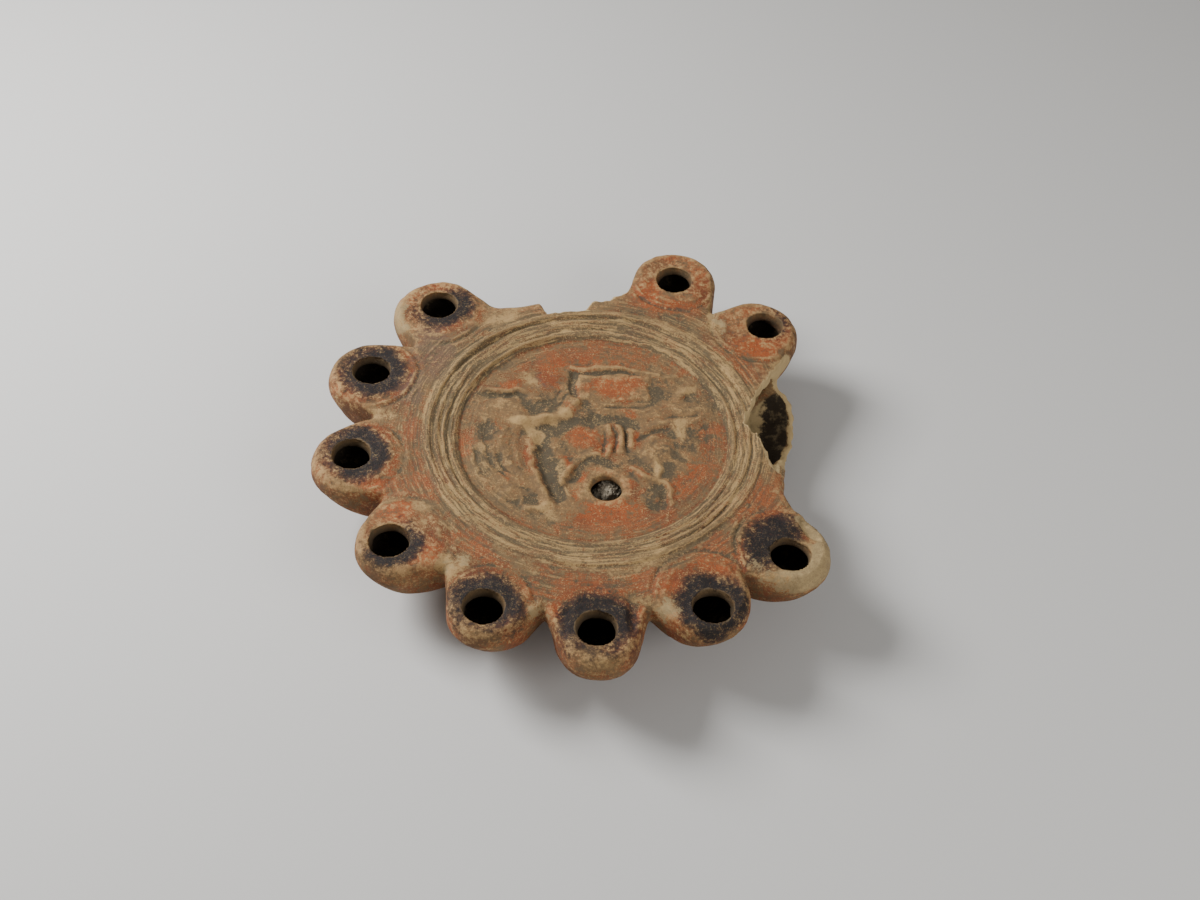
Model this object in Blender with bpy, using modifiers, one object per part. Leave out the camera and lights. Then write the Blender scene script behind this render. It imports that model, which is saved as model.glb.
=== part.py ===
"""Moulded clay oil lamp with a ring of wick spouts round a sunk disc in low relief.

One fired clay vessel: a shallow bowl whose lobes are the spouts, closed by a thin upper plate.
Twelve spouts were made. Ten are whole, one keeps only the lower half of its wall, and one
is gone with its stub. The carrying loop at the back is broken off too.
Metres, +Z up. The origin is the middle of the flat underside.
"""

import math

import bmesh
import bpy
from mathutils import Vector

# Overall heights
LAMP_HEIGHT = 0.034
SHOULDER_DROP = 0.001
SHOULDER_FALL = 0.0018
SHOULDER_FALL_LIMIT = 0.0025
SPOUT_TOP_DROP = 0.0006
WIDEST_DROP = 0.0080
EDGE_ROUNDING = ((0.0003, 0.0030), (0.0012, 0.0010), (0.0032, 0.0))
EDGE_ROOM = 0.7
PLATE_SHARES = (0.36, 0.72)
FOOT_HEIGHT = 0.002

# Plan of the bowl
BASE_RADIUS = 0.0455
FOOT_RADIUS = 0.047
BODY_RADIUS = 0.0705
NOTCH_DEPTH = 0.0065
BODY_CURVE = 1.45
SPOUT_CURVE = 2.05

# Spouts: the wick hole's angle in degrees from +X, how far the tip reaches past the hole's middle,
# how far the rounded top lies to the counter-clockwise side of the hole, and the top's radius
SPOUT_RING_RADIUS = 0.086
WHOLE_SPOUTS = (
    (42.6, 0.0130, 0.0008, 0.0160),
    (70.8, 0.0180, 0.0000, 0.0162),
    (136.2, 0.0160, 0.0018, 0.0172),
    (164.6, 0.0160, 0.0006, 0.0160),
    (192.3, 0.0150, 0.0008, 0.0158),
    (220.2, 0.0122, 0.0004, 0.0158),
    (248.2, 0.0120, 0.0006, 0.0138),
    (273.4, 0.0152, 0.0010, 0.0126),
    (299.8, 0.0100, 0.0002, 0.0158),
    (323.2, 0.0130, 0.0018, 0.0158),
)
BROKEN_SPOUT = (15.5, 0.0135, 0.0, 0.0160)
WICK_HOLE_RADIUS = 0.0063
WICK_HOLE_TAPER = 0.0006
SPOUT_TOP_BLEND = (0.8, 1.15)
SPOUT_GROOVE_GAP = 0.0018
SPOUT_GROOVE_SIZE = 0.0011
SPOUT_GROOVE_LIFT = 0.2

# Arcs with no spout: from angle, depth of the notch there inside the ring of wick holes, to angle,
# depth of the notch there
BARE_ARCS = (
    (82.2, 0.0095, 124.2, 0.0100),
    (336.6, 0.0070, 362.7, 0.0065),
)
BARE_ARC_BLEND = 8.0
BARE_ARC_REACH = 16.0

# Walls: the wall is inset by a lesser share of its thickness at the foot, and by more in a notch
WALL = 0.004
FOOT_WALL_SHARE = 0.35
NOTCH_WALL_GAIN = 0.6
FLOOR_THICKNESS = 0.0045
PLATE_THICKNESS = 0.0038
CAVITY_LEVELS = (0.12, 0.4, 0.7, 1.0)
CAVITY_TOP_DROP = 0.0092
CAVITY_ROUNDING = 0.0018
CAVITY_LEDGE = 0.0030

# Sunk disc: its turned mouldings run inwards from the crest, each at a share of the band between
# the disc and the crest and with a drop below the lamp's top
CREST_RADIUS = 0.0606
CREST_FOOT = 0.0009
MOULDINGS = (
    (0.889, 0.0000),
    (0.825, 0.0006),
    (0.746, 0.0020),
    (0.635, 0.0014),
    (0.524, 0.0013),
    (0.413, 0.0017),
    (0.325, 0.0027),
    (0.222, 0.0022),
    (0.127, 0.0024),
)
DISC_RADIUS = 0.048
DISC_DROP = 0.0044
DISC_HOLLOW = 0.0009
RELIEF_SCALE = 1.0
RELIEF_BACKING = 0.0016
RELIEF_OVERLAP = 0.0013
DISC_CUT_DEEPER = 0.0007
FILL_HOLE_RADIUS = 0.0054
FILL_HOLE_PLACE = (0.0060, -0.0235)

# Breaks: angle, how far the plate's broken edge lies outside the crest, and how high the outside of
# the wall still stands there, as a share of the lamp's height
RIGHT_BREAK = (
    (31.5, 0.0244, 1.015),
    (29.6, 0.0194, 0.771),
    (27.4, 0.0129, 0.559),
    (25.4, 0.0094, 0.465),
    (22.5, 0.0049, 0.394),
    (19.0, 0.0016, 0.347),
    (15.5, -0.0014, 0.318),
    (12.0, -0.0040, 0.300),
    (8.5, -0.0049, 0.288),
    (5.0, -0.0041, 0.312),
    (2.0, -0.0020, 0.441),
    (-0.5, -0.0006, 0.603),
    (-3.4, 0.0006, 0.706),
    (-7.1, 0.0018, 0.759),
    (-10.6, 0.0044, 0.824),
    (-14.7, 0.0074, 0.906),
    (-17.8, 0.0106, 1.015),
)
BACK_BREAK = (
    (110.2, 0.0094, 0.941),
    (109.4, 0.0016, 0.721),
    (105.0, 0.0000, 0.624),
    (100.5, -0.0002, 0.600),
    (96.4, 0.0000, 0.629),
    (95.2, 0.0024, 0.682),
    (92.8, 0.0059, 0.741),
    (90.0, 0.0070, 0.782),
    (86.8, 0.0084, 0.853),
    (83.6, 0.0114, 1.015),
)
BREAK_ROUGHNESS = 0.0006
BREAK_SLOPE = 0.0012
BREAK_LIP = 0.3
BREAK_FAR = 0.126
BREAK_LEAN = 0.55
BREAK_STEEPNESS = 1.3
CHIP_BEARING = -30.3
CHIP_LENGTH = 0.0130
CHIP_WIDTH = 0.0085
CHIP_DEPTH = 0.0014

# Mesh density
FLANK_LEVELS = (0.0, 0.22, 0.46, 0.72, 1.0)
LOBE_STEPS = 8
CAVITY_LOBE_STEPS = 5
BARE_STEPS = 7
TURNED_STEPS = 52
HOLE_SIDES = 16
RELIEF_CELLS = 33
RELIEF_THINNING = 0.44
GROOVE_STEPS = 18
CLEAR = 0.006
PEG_TIP = 0.0055
ARC_END_GAP = 0.4
BARE_BUNCHING = 0.12
SMALLEST = 0.0001

SPOUTS = tuple(sorted(WHOLE_SPOUTS + (BROKEN_SPOUT,)))
WIDEST_HEIGHT = LAMP_HEIGHT - WIDEST_DROP
NOTCH_RADIUS = SPOUT_RING_RADIUS - NOTCH_DEPTH
SHOULDER_RADIUS = CREST_RADIUS + CREST_FOOT
CEILING_RADIUS = min(SHOULDER_RADIUS, BODY_RADIUS - WALL - CAVITY_LEDGE)


def polar(radius, degrees):
    """Point in plan at a radius and an angle from +X."""
    angle = math.radians(degrees)
    return Vector((radius * math.cos(angle), radius * math.sin(angle)))


def smooth_step(low, high, value):
    """0 below low, 1 above high, with a soft change between."""
    share = min(max((value - low) / (high - low), 0.0), 1.0)
    return share * share * (3.0 - 2.0 * share)


def bare_arc_starting_near(angle):
    """The bare arc that follows a spout, if the next stretch of the rim has no spout."""
    for arc in BARE_ARCS:
        if 0.0 < (arc[0] - angle) % 360.0 < BARE_ARC_REACH:
            return arc
    return None


def bare_arc_ending_near(angle):
    """The bare arc that leads up to a spout, if there is one."""
    for arc in BARE_ARCS:
        if 0.0 < (angle - arc[2]) % 360.0 < BARE_ARC_REACH:
            return arc
    return None


def notch_after(index):
    """Angle and widest radius of the notch that follows a spout, counter-clockwise."""
    angle = SPOUTS[index][0]
    arc = bare_arc_starting_near(angle)
    if arc:
        return arc[0], SPOUT_RING_RADIUS - arc[1]
    following = SPOUTS[(index + 1) % len(SPOUTS)][0]
    step = (following - angle) % 360.0
    return angle + step / 2.0, NOTCH_RADIUS


def notch_before(index):
    """Angle and widest radius of the notch that comes before a spout."""
    arc = bare_arc_ending_near(SPOUTS[index][0])
    if arc:
        return arc[2], SPOUT_RING_RADIUS - arc[3]
    return notch_after(index - 1)


def spread(share, wide, curve):
    """Radius at a share of the flank's height, for a radius given at the widest level."""
    return FOOT_RADIUS + (wide - FOOT_RADIUS) * (1.0 - (1.0 - share) ** curve)


def corner_inset(share, inset):
    """Inset of a notch, which has to be deeper than the wall where the notch is a sharp one."""
    return inset * (1.0 + NOTCH_WALL_GAIN * share)


def fitting_circle(tip, notch):
    """Radius of the circle through the tip and both notches of a spout."""
    gap = max(tip - notch.x, SMALLEST)
    return (gap * gap + notch.y * notch.y) / (2.0 * gap)


def lobe_points(index, share, inset, steps):
    """One spout's outline at a level: its first notch, then the arc round its tip."""
    angle, reach, shift, top_radius = SPOUTS[index]
    tip_wide = SPOUT_RING_RADIUS + reach
    tip = spread(share, tip_wide, SPOUT_CURVE)
    wide_notches = []
    notches = []
    for degrees, radius in (notch_before(index), notch_after(index)):
        turn = abs((degrees - angle + 180.0) % 360.0 - 180.0)
        wide_notches.append(polar(radius, turn))
        notches.append(polar(spread(share, radius, BODY_CURVE), turn))
    fullest_wide = min(fitting_circle(tip_wide, notch) for notch in wide_notches)
    fullest = min(fitting_circle(tip, notch) for notch in notches)
    slimness = 1.0 - min(top_radius / fullest_wide, 1.0 - SMALLEST)
    radius = fullest * (1.0 - slimness * share * share)
    middle = tip - radius
    radius -= inset
    ends = []
    for notch, side in zip(notches, (1.0, -1.0)):
        notch.length -= corner_inset(share, inset)
        offset = notch - Vector((middle, -side * shift * share))
        bearing = math.atan2(offset.y, offset.x)
        ends.append(bearing - math.acos(min(radius / offset.length, 1.0)))
    axis = polar(1.0, angle)
    across = Vector((-axis.y, axis.x))
    points = [axis * notches[0].x - across * notches[0].y]
    for step in range(steps + 1):
        bearing = -ends[0] + (ends[0] + ends[1]) * (step + ARC_END_GAP) / (steps + 2.0 * ARC_END_GAP)
        ahead = middle + radius * math.cos(bearing)
        points.append(axis * ahead + across * (shift * share + radius * math.sin(bearing)))
    return points


def bare_points(arc, share, inset):
    """The rim's outline along a bare arc at a level, from its first notch to before its last."""
    start, start_depth, end, end_depth = arc
    points = []
    for step in range(BARE_STEPS):
        part = step / BARE_STEPS
        eased = part - BARE_BUNCHING * math.sin(2.0 * math.pi * part)
        degrees = start + (end - start) * eased
        near_start = max(0.0, 1.0 - (degrees - start) / BARE_ARC_BLEND) ** 2
        near_end = max(0.0, 1.0 - (end - degrees) / BARE_ARC_BLEND) ** 2
        wide = BODY_RADIUS + (SPOUT_RING_RADIUS - start_depth - BODY_RADIUS) * near_start
        wide += (SPOUT_RING_RADIUS - end_depth - BODY_RADIUS) * near_end
        corner = corner_inset(share * max(near_start, near_end), inset)
        points.append(polar(spread(share, wide, BODY_CURVE) - corner, degrees))
    return points


def outline(share, inset=0.0, steps=LOBE_STEPS):
    """Whole plan outline at a share of the flank's height, inset for the inner side of a wall."""
    points = []
    for index in range(len(SPOUTS)):
        points += lobe_points(index, share, inset, steps)
        arc = bare_arc_starting_near(SPOUTS[index][0])
        if arc:
            points += bare_points(arc, share, inset)
    return points


def spout_middle(index):
    """Middle of the round top of a spout, in plan."""
    angle, reach, shift, radius = SPOUTS[index]
    axis = polar(1.0, angle)
    return axis * (SPOUT_RING_RADIUS + reach - radius) + Vector((-axis.y, axis.x)) * shift


def top_height(point):
    """Height of the upper surface outside the sunk disc: a falling shoulder and raised spout tops."""
    outwards = (point.length - SHOULDER_RADIUS) / (NOTCH_RADIUS - SHOULDER_RADIUS)
    fall = SHOULDER_FALL * max(outwards, 0.0) ** 2
    height = LAMP_HEIGHT - SHOULDER_DROP - min(fall, SHOULDER_FALL_LIMIT)
    nearest = min((point - spout_middle(index)).length / SPOUTS[index][3] for index in range(len(SPOUTS)))
    raised = 1.0 - smooth_step(*SPOUT_TOP_BLEND, nearest)
    return height + (LAMP_HEIGHT - SPOUT_TOP_DROP - height) * raised


def at_level(points, height):
    """Plan points lifted to one height."""
    return [Vector((point.x, point.y, height)) for point in points]


def circle_like(points, radius, height):
    """A level circle with one point on the same bearing as each point of an outline."""
    return [Vector((*(point.normalized() * radius), height)) for point in points]


def drawn_in(rim, inner, distance, drop, top):
    """Ring that lies a distance in from the rim towards an inner ring, below the upper surface."""
    ring = []
    for outer_point, inner_point in zip(rim, inner):
        way = inner_point - outer_point
        room = min(EDGE_ROOM * way.length / EDGE_ROUNDING[-1][0], 1.0)
        point = outer_point + way * (room * distance / way.length)
        ring.append(Vector((point.x, point.y, top(point) - drop)))
    return ring


def shared_in(rim, inner, share, top):
    """Ring that lies a share of the way from the rim to an inner ring, on the upper surface."""
    points = [a.lerp(b, share) for a, b in zip(rim, inner)]
    return [Vector((point.x, point.y, top(point))) for point in points]


def spaced_circle(count_like, radius):
    """Plan circle whose points bunch as the lobes do, so that lines to the rim don't cross."""
    total = len(count_like)
    bearings = [math.atan2(point.y, point.x) for point in count_like]
    points = []
    for index in range(total):
        around = [bearings[(index + shift) % total] for shift in range(-3, 4)]
        x = sum(math.cos(bearing) for bearing in around)
        y = sum(math.sin(bearing) for bearing in around)
        points.append(Vector((x, y)).normalized() * radius)
    return points


def add_mesh_object(name, mesh_data, collection):
    """Turn a bmesh into an object in a collection."""
    mesh = bpy.data.meshes.new(name)
    mesh_data.to_mesh(mesh)
    mesh_data.free()
    made = bpy.data.objects.new(name, mesh)
    collection.objects.link(made)
    return made


def add_loft(name, rings, collection):
    """Closed skin over rings with equal numbers of points, capped at both ends."""
    skin = bmesh.new()
    rows = [[skin.verts.new(point) for point in ring] for ring in rings]
    count = len(rows[0])
    for low, high in zip(rows, rows[1:]):
        for index in range(count):
            following = (index + 1) % count
            skin.faces.new((low[index], low[following], high[following], high[index]))
    skin.faces.new(list(reversed(rows[0])))
    skin.faces.new(rows[-1])
    bmesh.ops.recalc_face_normals(skin, faces=skin.faces)
    return add_mesh_object(name, skin, collection)


def add_vessel(collection):
    """The whole outside: foot, flaring flanks with their lobes, rounded edge and upper plate."""
    rings = [circle_like(outline(0.0), BASE_RADIUS, 0.0)]
    for share in FLANK_LEVELS:
        height = FOOT_HEIGHT + (WIDEST_HEIGHT - FOOT_HEIGHT) * share
        rings.append(at_level(outline(share), height))
    rim = outline(1.0)
    inner = spaced_circle(rim, SHOULDER_RADIUS)
    for distance, drop in EDGE_ROUNDING:
        rings.append(drawn_in(rim, inner, distance, drop, top_height))
    last_edge = [Vector((point.x, point.y)) for point in rings[-1]]
    for share in PLATE_SHARES:
        rings.append(shared_in(last_edge, inner, share, top_height))
    rings.append(at_level(inner, LAMP_HEIGHT - SHOULDER_DROP))
    rings.append(circle_like(inner, CREST_RADIUS, LAMP_HEIGHT))
    return add_loft("lamp_body", rings, collection)


def add_cavity(collection):
    """The hollow inside: a reservoir under the plate with a channel into each spout."""
    low_inset = FOOT_WALL_SHARE * WALL
    rings = [at_level(outline(0.0, low_inset, CAVITY_LOBE_STEPS), FLOOR_THICKNESS)]
    flank = WIDEST_HEIGHT - FOOT_HEIGHT
    for share in CAVITY_LEVELS:
        height = FOOT_HEIGHT + flank * share + WALL * (1.0 - share)
        inset = low_inset + (WALL - low_inset) * share
        points = outline(share, inset, CAVITY_LOBE_STEPS)
        rings.append(at_level(points, min(height, LAMP_HEIGHT - CAVITY_TOP_DROP)))
    rim = outline(1.0, WALL, CAVITY_LOBE_STEPS)
    inner = spaced_circle(rim, CEILING_RADIUS)

    def ceiling(point):
        return top_height(point) - PLATE_THICKNESS

    rings.append(drawn_in(rim, inner, CAVITY_ROUNDING, 0.0, ceiling))
    rings.append(shared_in(rim, inner, PLATE_SHARES[-1], ceiling))
    rings.append(at_level(inner, LAMP_HEIGHT - SHOULDER_DROP - PLATE_THICKNESS))
    under_disc = LAMP_HEIGHT - DISC_DROP - DISC_HOLLOW - PLATE_THICKNESS
    eye = min(CREST_RADIUS, CEILING_RADIUS) - PLATE_THICKNESS
    rings.append(circle_like(inner, eye, under_disc))
    return add_loft("cavity_cutter", rings, collection)


def add_disc_cutter(collection):
    """Turned tool that sinks the disc and leaves the mouldings round it."""
    band = CREST_RADIUS - DISC_RADIUS
    places = [(DISC_RADIUS + share * band, LAMP_HEIGHT - drop) for share, drop in MOULDINGS]
    profile = [(0.0, LAMP_HEIGHT + CLEAR), (places[0][0], LAMP_HEIGHT + CLEAR)] + places[1:]
    bottom = LAMP_HEIGHT - DISC_DROP - DISC_HOLLOW - DISC_CUT_DEEPER
    profile += [(DISC_RADIUS, LAMP_HEIGHT - DISC_DROP), (DISC_RADIUS - SMALLEST, bottom), (0.0, bottom)]
    mesh = bpy.data.meshes.new("disc_cutter")
    points = [(radius, 0.0, height) for radius, height in profile]
    mesh.from_pydata(points, [(i, i + 1) for i in range(len(points) - 1)], [])
    cutter = bpy.data.objects.new("disc_cutter", mesh)
    collection.objects.link(cutter)
    turning = cutter.modifiers.new("Turned", "SCREW")
    turning.axis = "Z"
    turning.angle = math.radians(360.0)
    turning.steps = TURNED_STEPS
    turning.render_steps = TURNED_STEPS
    turning.use_merge_vertices = True
    turning.merge_threshold = 0.1 * SMALLEST
    return cutter


def distance_to_line(point, start, end):
    """Distance in plan from a point to a straight stroke."""
    way = end - start
    share = min(max((point - start).dot(way) / way.length_squared, 0.0), 1.0)
    return (point - start - way * share).length


def ridge(point, path, width, height):
    """Height of a rounded ridge that follows a path of points; a hollow where height is negative."""
    stops = [Vector(stop) for stop in path]
    nearest = min(distance_to_line(point, a, b) for a, b in zip(stops, stops[1:]))
    return height * (1.0 - smooth_step(0.0, width, nearest))


def mound(point, middle, half_sizes, turn, height):
    """Height of a low oval mound with a flat crown."""
    angle = math.radians(turn)
    offset = point - Vector(middle)
    along = offset.x * math.cos(angle) + offset.y * math.sin(angle)
    across = offset.y * math.cos(angle) - offset.x * math.sin(angle)
    away = math.hypot(along / half_sizes[0], across / half_sizes[1])
    return height * (1.0 - smooth_step(0.6, 1.1, away))


def draped_figure(point):
    """Worn seated figure on the left: robe, lap, knee, raised arm and foot."""
    height = max(
        mound(point, (-0.66, -0.30), (0.30, 0.48), 12.0, 1.0),
        mound(point, (-0.66, 0.10), (0.27, 0.24), 0.0, 1.1),
        ridge(point, ((-0.58, 0.08), (-0.37, 0.11), (-0.24, 0.20), (-0.12, 0.31)), 0.10, 1.4),
        ridge(point, ((-0.45, 0.02), (-0.41, -0.23), (-0.39, -0.38), (-0.31, -0.58)), 0.09, 1.4),
        ridge(point, ((-0.52, -0.74), (-0.36, -0.72), (-0.28, -0.62)), 0.08, 1.2),
    )
    height += ridge(point, ((-1.0, 0.38), (-0.74, 0.35), (-0.54, 0.40), (-0.46, 0.33)), 0.05, -0.6)
    for fold in range(4):
        lean = -0.84 + 0.11 * fold
        height += ridge(point, ((lean, 0.0), (lean + 0.06, -0.30), (lean + 0.10, -0.56)), 0.035, -0.35)
    return height


def winged_figure(point):
    """Worn crouching figure on the right, with a fan of wing feathers and a bent leg."""
    height = max(
        mound(point, (0.62, 0.24), (0.32, 0.20), 8.0, 0.9),
        mound(point, (0.46, -0.10), (0.20, 0.16), -30.0, 0.9),
        ridge(point, ((0.62, 0.42), (0.70, 0.51), (0.86, 0.55)), 0.07, 1.3),
        ridge(point, ((0.46, -0.16), (0.56, -0.30), (0.66, -0.33)), 0.08, 1.1),
    )
    for feather in range(5):
        foot = (0.40 + 0.055 * feather, -0.02 - 0.012 * feather)
        head = (0.44 + 0.075 * feather, 0.17 - 0.006 * feather)
        height += ridge(point, (foot, head), 0.03, 0.5)
    return height


def middle_group(point):
    """Hanging panel, three short posts below it and the arched cushion round the filling hole."""
    panel_x = 1.0 - smooth_step(0.26, 0.31, abs(point.x - 0.16))
    panel_y = 1.0 - smooth_step(0.11, 0.15, abs(point.y - 0.49))
    height = 0.7 * panel_x * panel_y
    height += ridge(point, ((-0.17, 0.68), (0.36, 0.68), (0.48, 0.62)), 0.045, 0.8)
    height += ridge(point, ((0.02, 0.325), (0.38, 0.31)), 0.035, 0.6)
    height += ridge(point, ((-0.17, 0.62), (-0.15, 0.46)), 0.04, -0.6)
    for post in range(3):
        across = 0.115 + 0.07 * post
        height += ridge(point, ((across, 0.07), (across, -0.14)), 0.03, 0.7)
    arch_left = ((-0.14, -0.58), (-0.17, -0.38), (-0.12, -0.26), (0.03, -0.17))
    arch_right = ((0.18, -0.21), (0.35, -0.33), (0.49, -0.39), (0.58, -0.50), (0.57, -0.60))
    height += max(ridge(point, arch_left, 0.07, 1.0), ridge(point, arch_right, 0.07, 1.0))
    return height


def hollows(point):
    """Deeper cuts that part the figures from the ground."""
    beside_robe = ((-0.33, -0.05), (-0.33, -0.24), (-0.29, -0.42), (-0.21, -0.59))
    under_arm = ((-0.33, -0.02), (-0.20, 0.10), (-0.03, 0.15), (0.14, 0.15))
    return min(ridge(point, beside_robe, 0.07, -0.9), ridge(point, under_arm, 0.07, -0.7))


def relief_height(point):
    """Height of the worn carving, in millimetres, at a point given in shares of the disc's radius."""
    carved = draped_figure(point) + winged_figure(point) + middle_group(point) + hollows(point)
    fade = 1.0 - smooth_step(0.86, 0.98, point.length)
    return min(max(carved, -0.5), 1.5) * fade * RELIEF_SCALE


def add_relief_plate(collection):
    """Round plate that fills the floor of the sunk disc and carries the relief."""
    plate = bmesh.new()
    bmesh.ops.create_grid(plate, x_segments=RELIEF_CELLS, y_segments=RELIEF_CELLS, size=1.0)
    edge_radius = DISC_RADIUS + RELIEF_OVERLAP
    for vertex in plate.verts:
        x, y = vertex.co.x, vertex.co.y
        place = Vector((x * math.sqrt(1.0 - y * y / 2.0), y * math.sqrt(1.0 - x * x / 2.0)))
        place *= edge_radius
        share = place / DISC_RADIUS
        floor = LAMP_HEIGHT - DISC_DROP - DISC_HOLLOW * max(1.0 - share.length_squared, 0.0)
        vertex.co = (place.x, place.y, floor + relief_height(share) * 0.001)
    rim = [edge for edge in plate.edges if edge.is_boundary]
    skirt = bmesh.ops.extrude_edge_only(plate, edges=rim)["geom"]
    for vertex in skirt:
        if isinstance(vertex, bmesh.types.BMVert):
            vertex.co.z = LAMP_HEIGHT - DISC_DROP - DISC_HOLLOW - RELIEF_BACKING
    low_rim = [edge for edge in plate.edges if edge.is_boundary]
    bmesh.ops.contextual_create(plate, geom=low_rim)
    bmesh.ops.recalc_face_normals(plate, faces=plate.faces)
    bmesh.ops.triangulate(plate, faces=plate.faces)
    made = add_mesh_object("relief_plate", plate, collection)
    thinning = made.modifiers.new("Thinned", "DECIMATE")
    thinning.ratio = RELIEF_THINNING
    return made


def add_hole_cutters(collection):
    """Slightly tapered pegs for the wick holes, and the peg for the filling hole."""
    pegs = bmesh.new()
    tall = PLATE_THICKNESS + CLEAR + PEG_TIP
    middle = LAMP_HEIGHT + CLEAR - tall / 2.0
    for spout in WHOLE_SPOUTS:
        place = polar(SPOUT_RING_RADIUS, spout[0])
        made = bmesh.ops.create_cone(
            pegs, cap_ends=True, segments=HOLE_SIDES, depth=tall,
            radius1=WICK_HOLE_RADIUS - WICK_HOLE_TAPER, radius2=WICK_HOLE_RADIUS + WICK_HOLE_TAPER,
        )
        bmesh.ops.translate(pegs, verts=made["verts"], vec=(place.x, place.y, middle))
    deep = DISC_DROP + DISC_HOLLOW + PLATE_THICKNESS + CLEAR + PEG_TIP
    made = bmesh.ops.create_cone(
        pegs, cap_ends=True, segments=HOLE_SIDES,
        radius1=FILL_HOLE_RADIUS, radius2=FILL_HOLE_RADIUS + WICK_HOLE_TAPER, depth=deep,
    )
    drop = (FILL_HOLE_PLACE[0], FILL_HOLE_PLACE[1], LAMP_HEIGHT + CLEAR - deep / 2.0)
    bmesh.ops.translate(pegs, verts=made["verts"], vec=drop)
    return add_mesh_object("hole_cutters", pegs, collection)


def add_groove_cutter(index, collection):
    """Ring that scores the line round the back of a spout's raised top."""
    centre = spout_middle(index)
    radius = min(SPOUTS[index][3] + SPOUT_GROOVE_GAP, centre.length - SHOULDER_RADIUS - SPOUT_GROOVE_SIZE)
    height = LAMP_HEIGHT - SPOUT_TOP_DROP + SPOUT_GROOVE_LIFT * SPOUT_GROOVE_SIZE
    bpy.ops.mesh.primitive_torus_add(
        major_radius=radius, minor_radius=SPOUT_GROOVE_SIZE,
        major_segments=GROOVE_STEPS, minor_segments=4, location=(centre.x, centre.y, height),
    )
    ring = bpy.context.object
    ring.name = f"groove_cutter_{index + 1}"
    for holder in list(ring.users_collection):
        holder.objects.unlink(ring)
    collection.objects.link(ring)
    return ring


def between(stations, share):
    """Values at a share of the way along a list of stations."""
    place = share * (len(stations) - 1)
    index = min(int(place), len(stations) - 2)
    part = place - index
    return [a + (b - a) * part for a, b in zip(stations[index], stations[index + 1])]


def flank_radius(angle, height):
    """Radius of the outside of the flank on a bearing, at a height."""
    share = (height - FOOT_HEIGHT) / (WIDEST_HEIGHT - FOOT_HEIGHT)
    ray = polar(1.0, angle)
    aside = Vector((-ray.y, ray.x))
    skirt = outline(min(max(share, 0.0), 1.0))
    crossings = [BODY_RADIUS]
    for start, end in zip(skirt, skirt[1:] + skirt[:1]):
        low, high = start.dot(aside), end.dot(aside)
        if low <= 0.0 < high:
            crossings.append(start.lerp(end, low / (low - high)).dot(ray))
    return crossings[-1]


def add_break_cutter(name, stations, collection):
    """Bite with a ragged edge in the plate, and a section square to the wall that is left below."""
    count = 2 * (len(stations) - 1)
    rings = []
    for step in range(count + 1):
        angle, beyond_crest, rim_share = between(stations, step / count)
        rim = rim_share * LAMP_HEIGHT
        edge = CREST_RADIUS + beyond_crest
        edge += BREAK_ROUGHNESS * (math.sin(2.6 * step) + 0.6 * math.sin(5.3 * step + 1.0))
        rim += 0.4 * BREAK_ROUGHNESS * math.sin(3.7 * step + 0.5)
        outside = max(flank_radius(angle, rim), edge + 2.0 * BREAK_SLOPE)
        across = BREAK_LEAN * (outside - edge - BREAK_SLOPE)
        across = min(across, BREAK_LEAN * WALL)
        ring = [
            (*polar(edge, angle), LAMP_HEIGHT + CLEAR),
            (*polar(edge, angle), LAMP_HEIGHT - BREAK_LIP * PLATE_THICKNESS),
            (*polar(edge + BREAK_SLOPE, angle), rim + across * BREAK_STEEPNESS),
            (*polar(outside - across, angle), rim + across * BREAK_STEEPNESS),
            (*polar(outside + across, angle), rim - across * BREAK_STEEPNESS),
            (*polar(BREAK_FAR, angle), rim - across * BREAK_STEEPNESS),
            (*polar(BREAK_FAR, angle), LAMP_HEIGHT + CLEAR),
        ]
        rings.append([Vector(corner) for corner in ring])
    return add_loft(name, rings, collection)


def add_chip_cutter(collection):
    """Flattened ball that spalls the rim of the last wick hole."""
    place = polar(SPOUT_RING_RADIUS, CHIP_BEARING)
    chip = bmesh.new()
    bmesh.ops.create_icosphere(chip, subdivisions=2, radius=1.0)
    for vertex in chip.verts:
        vertex.co = (
            place.x + vertex.co.x * CHIP_LENGTH / 2.0,
            place.y + vertex.co.y * CHIP_WIDTH / 2.0,
            LAMP_HEIGHT - SPOUT_TOP_DROP + vertex.co.z * CHIP_DEPTH,
        )
    return add_mesh_object("chip_cutter", chip, collection)


def cut(piece, tool, operation="DIFFERENCE"):
    """Cut a piece with a tool, or join the tool to it, and hide the tool."""
    step = piece.modifiers.new(tool.name, "BOOLEAN")
    step.operation = operation
    step.solver = "EXACT"
    step.object = tool
    tool.display_type = "WIRE"
    tool.hide_render = True
    tool.hide_set(True)


def fired_clay():
    """Orange-red clay, matt."""
    material = bpy.data.materials.new("fired_clay")
    material.use_nodes = True
    shader = material.node_tree.nodes["Principled BSDF"]
    shader.inputs["Base Color"].default_value = (0.42, 0.16, 0.065, 1.0)
    shader.inputs["Roughness"].default_value = 0.82
    shader.inputs["Metallic"].default_value = 0.0
    return material


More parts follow.
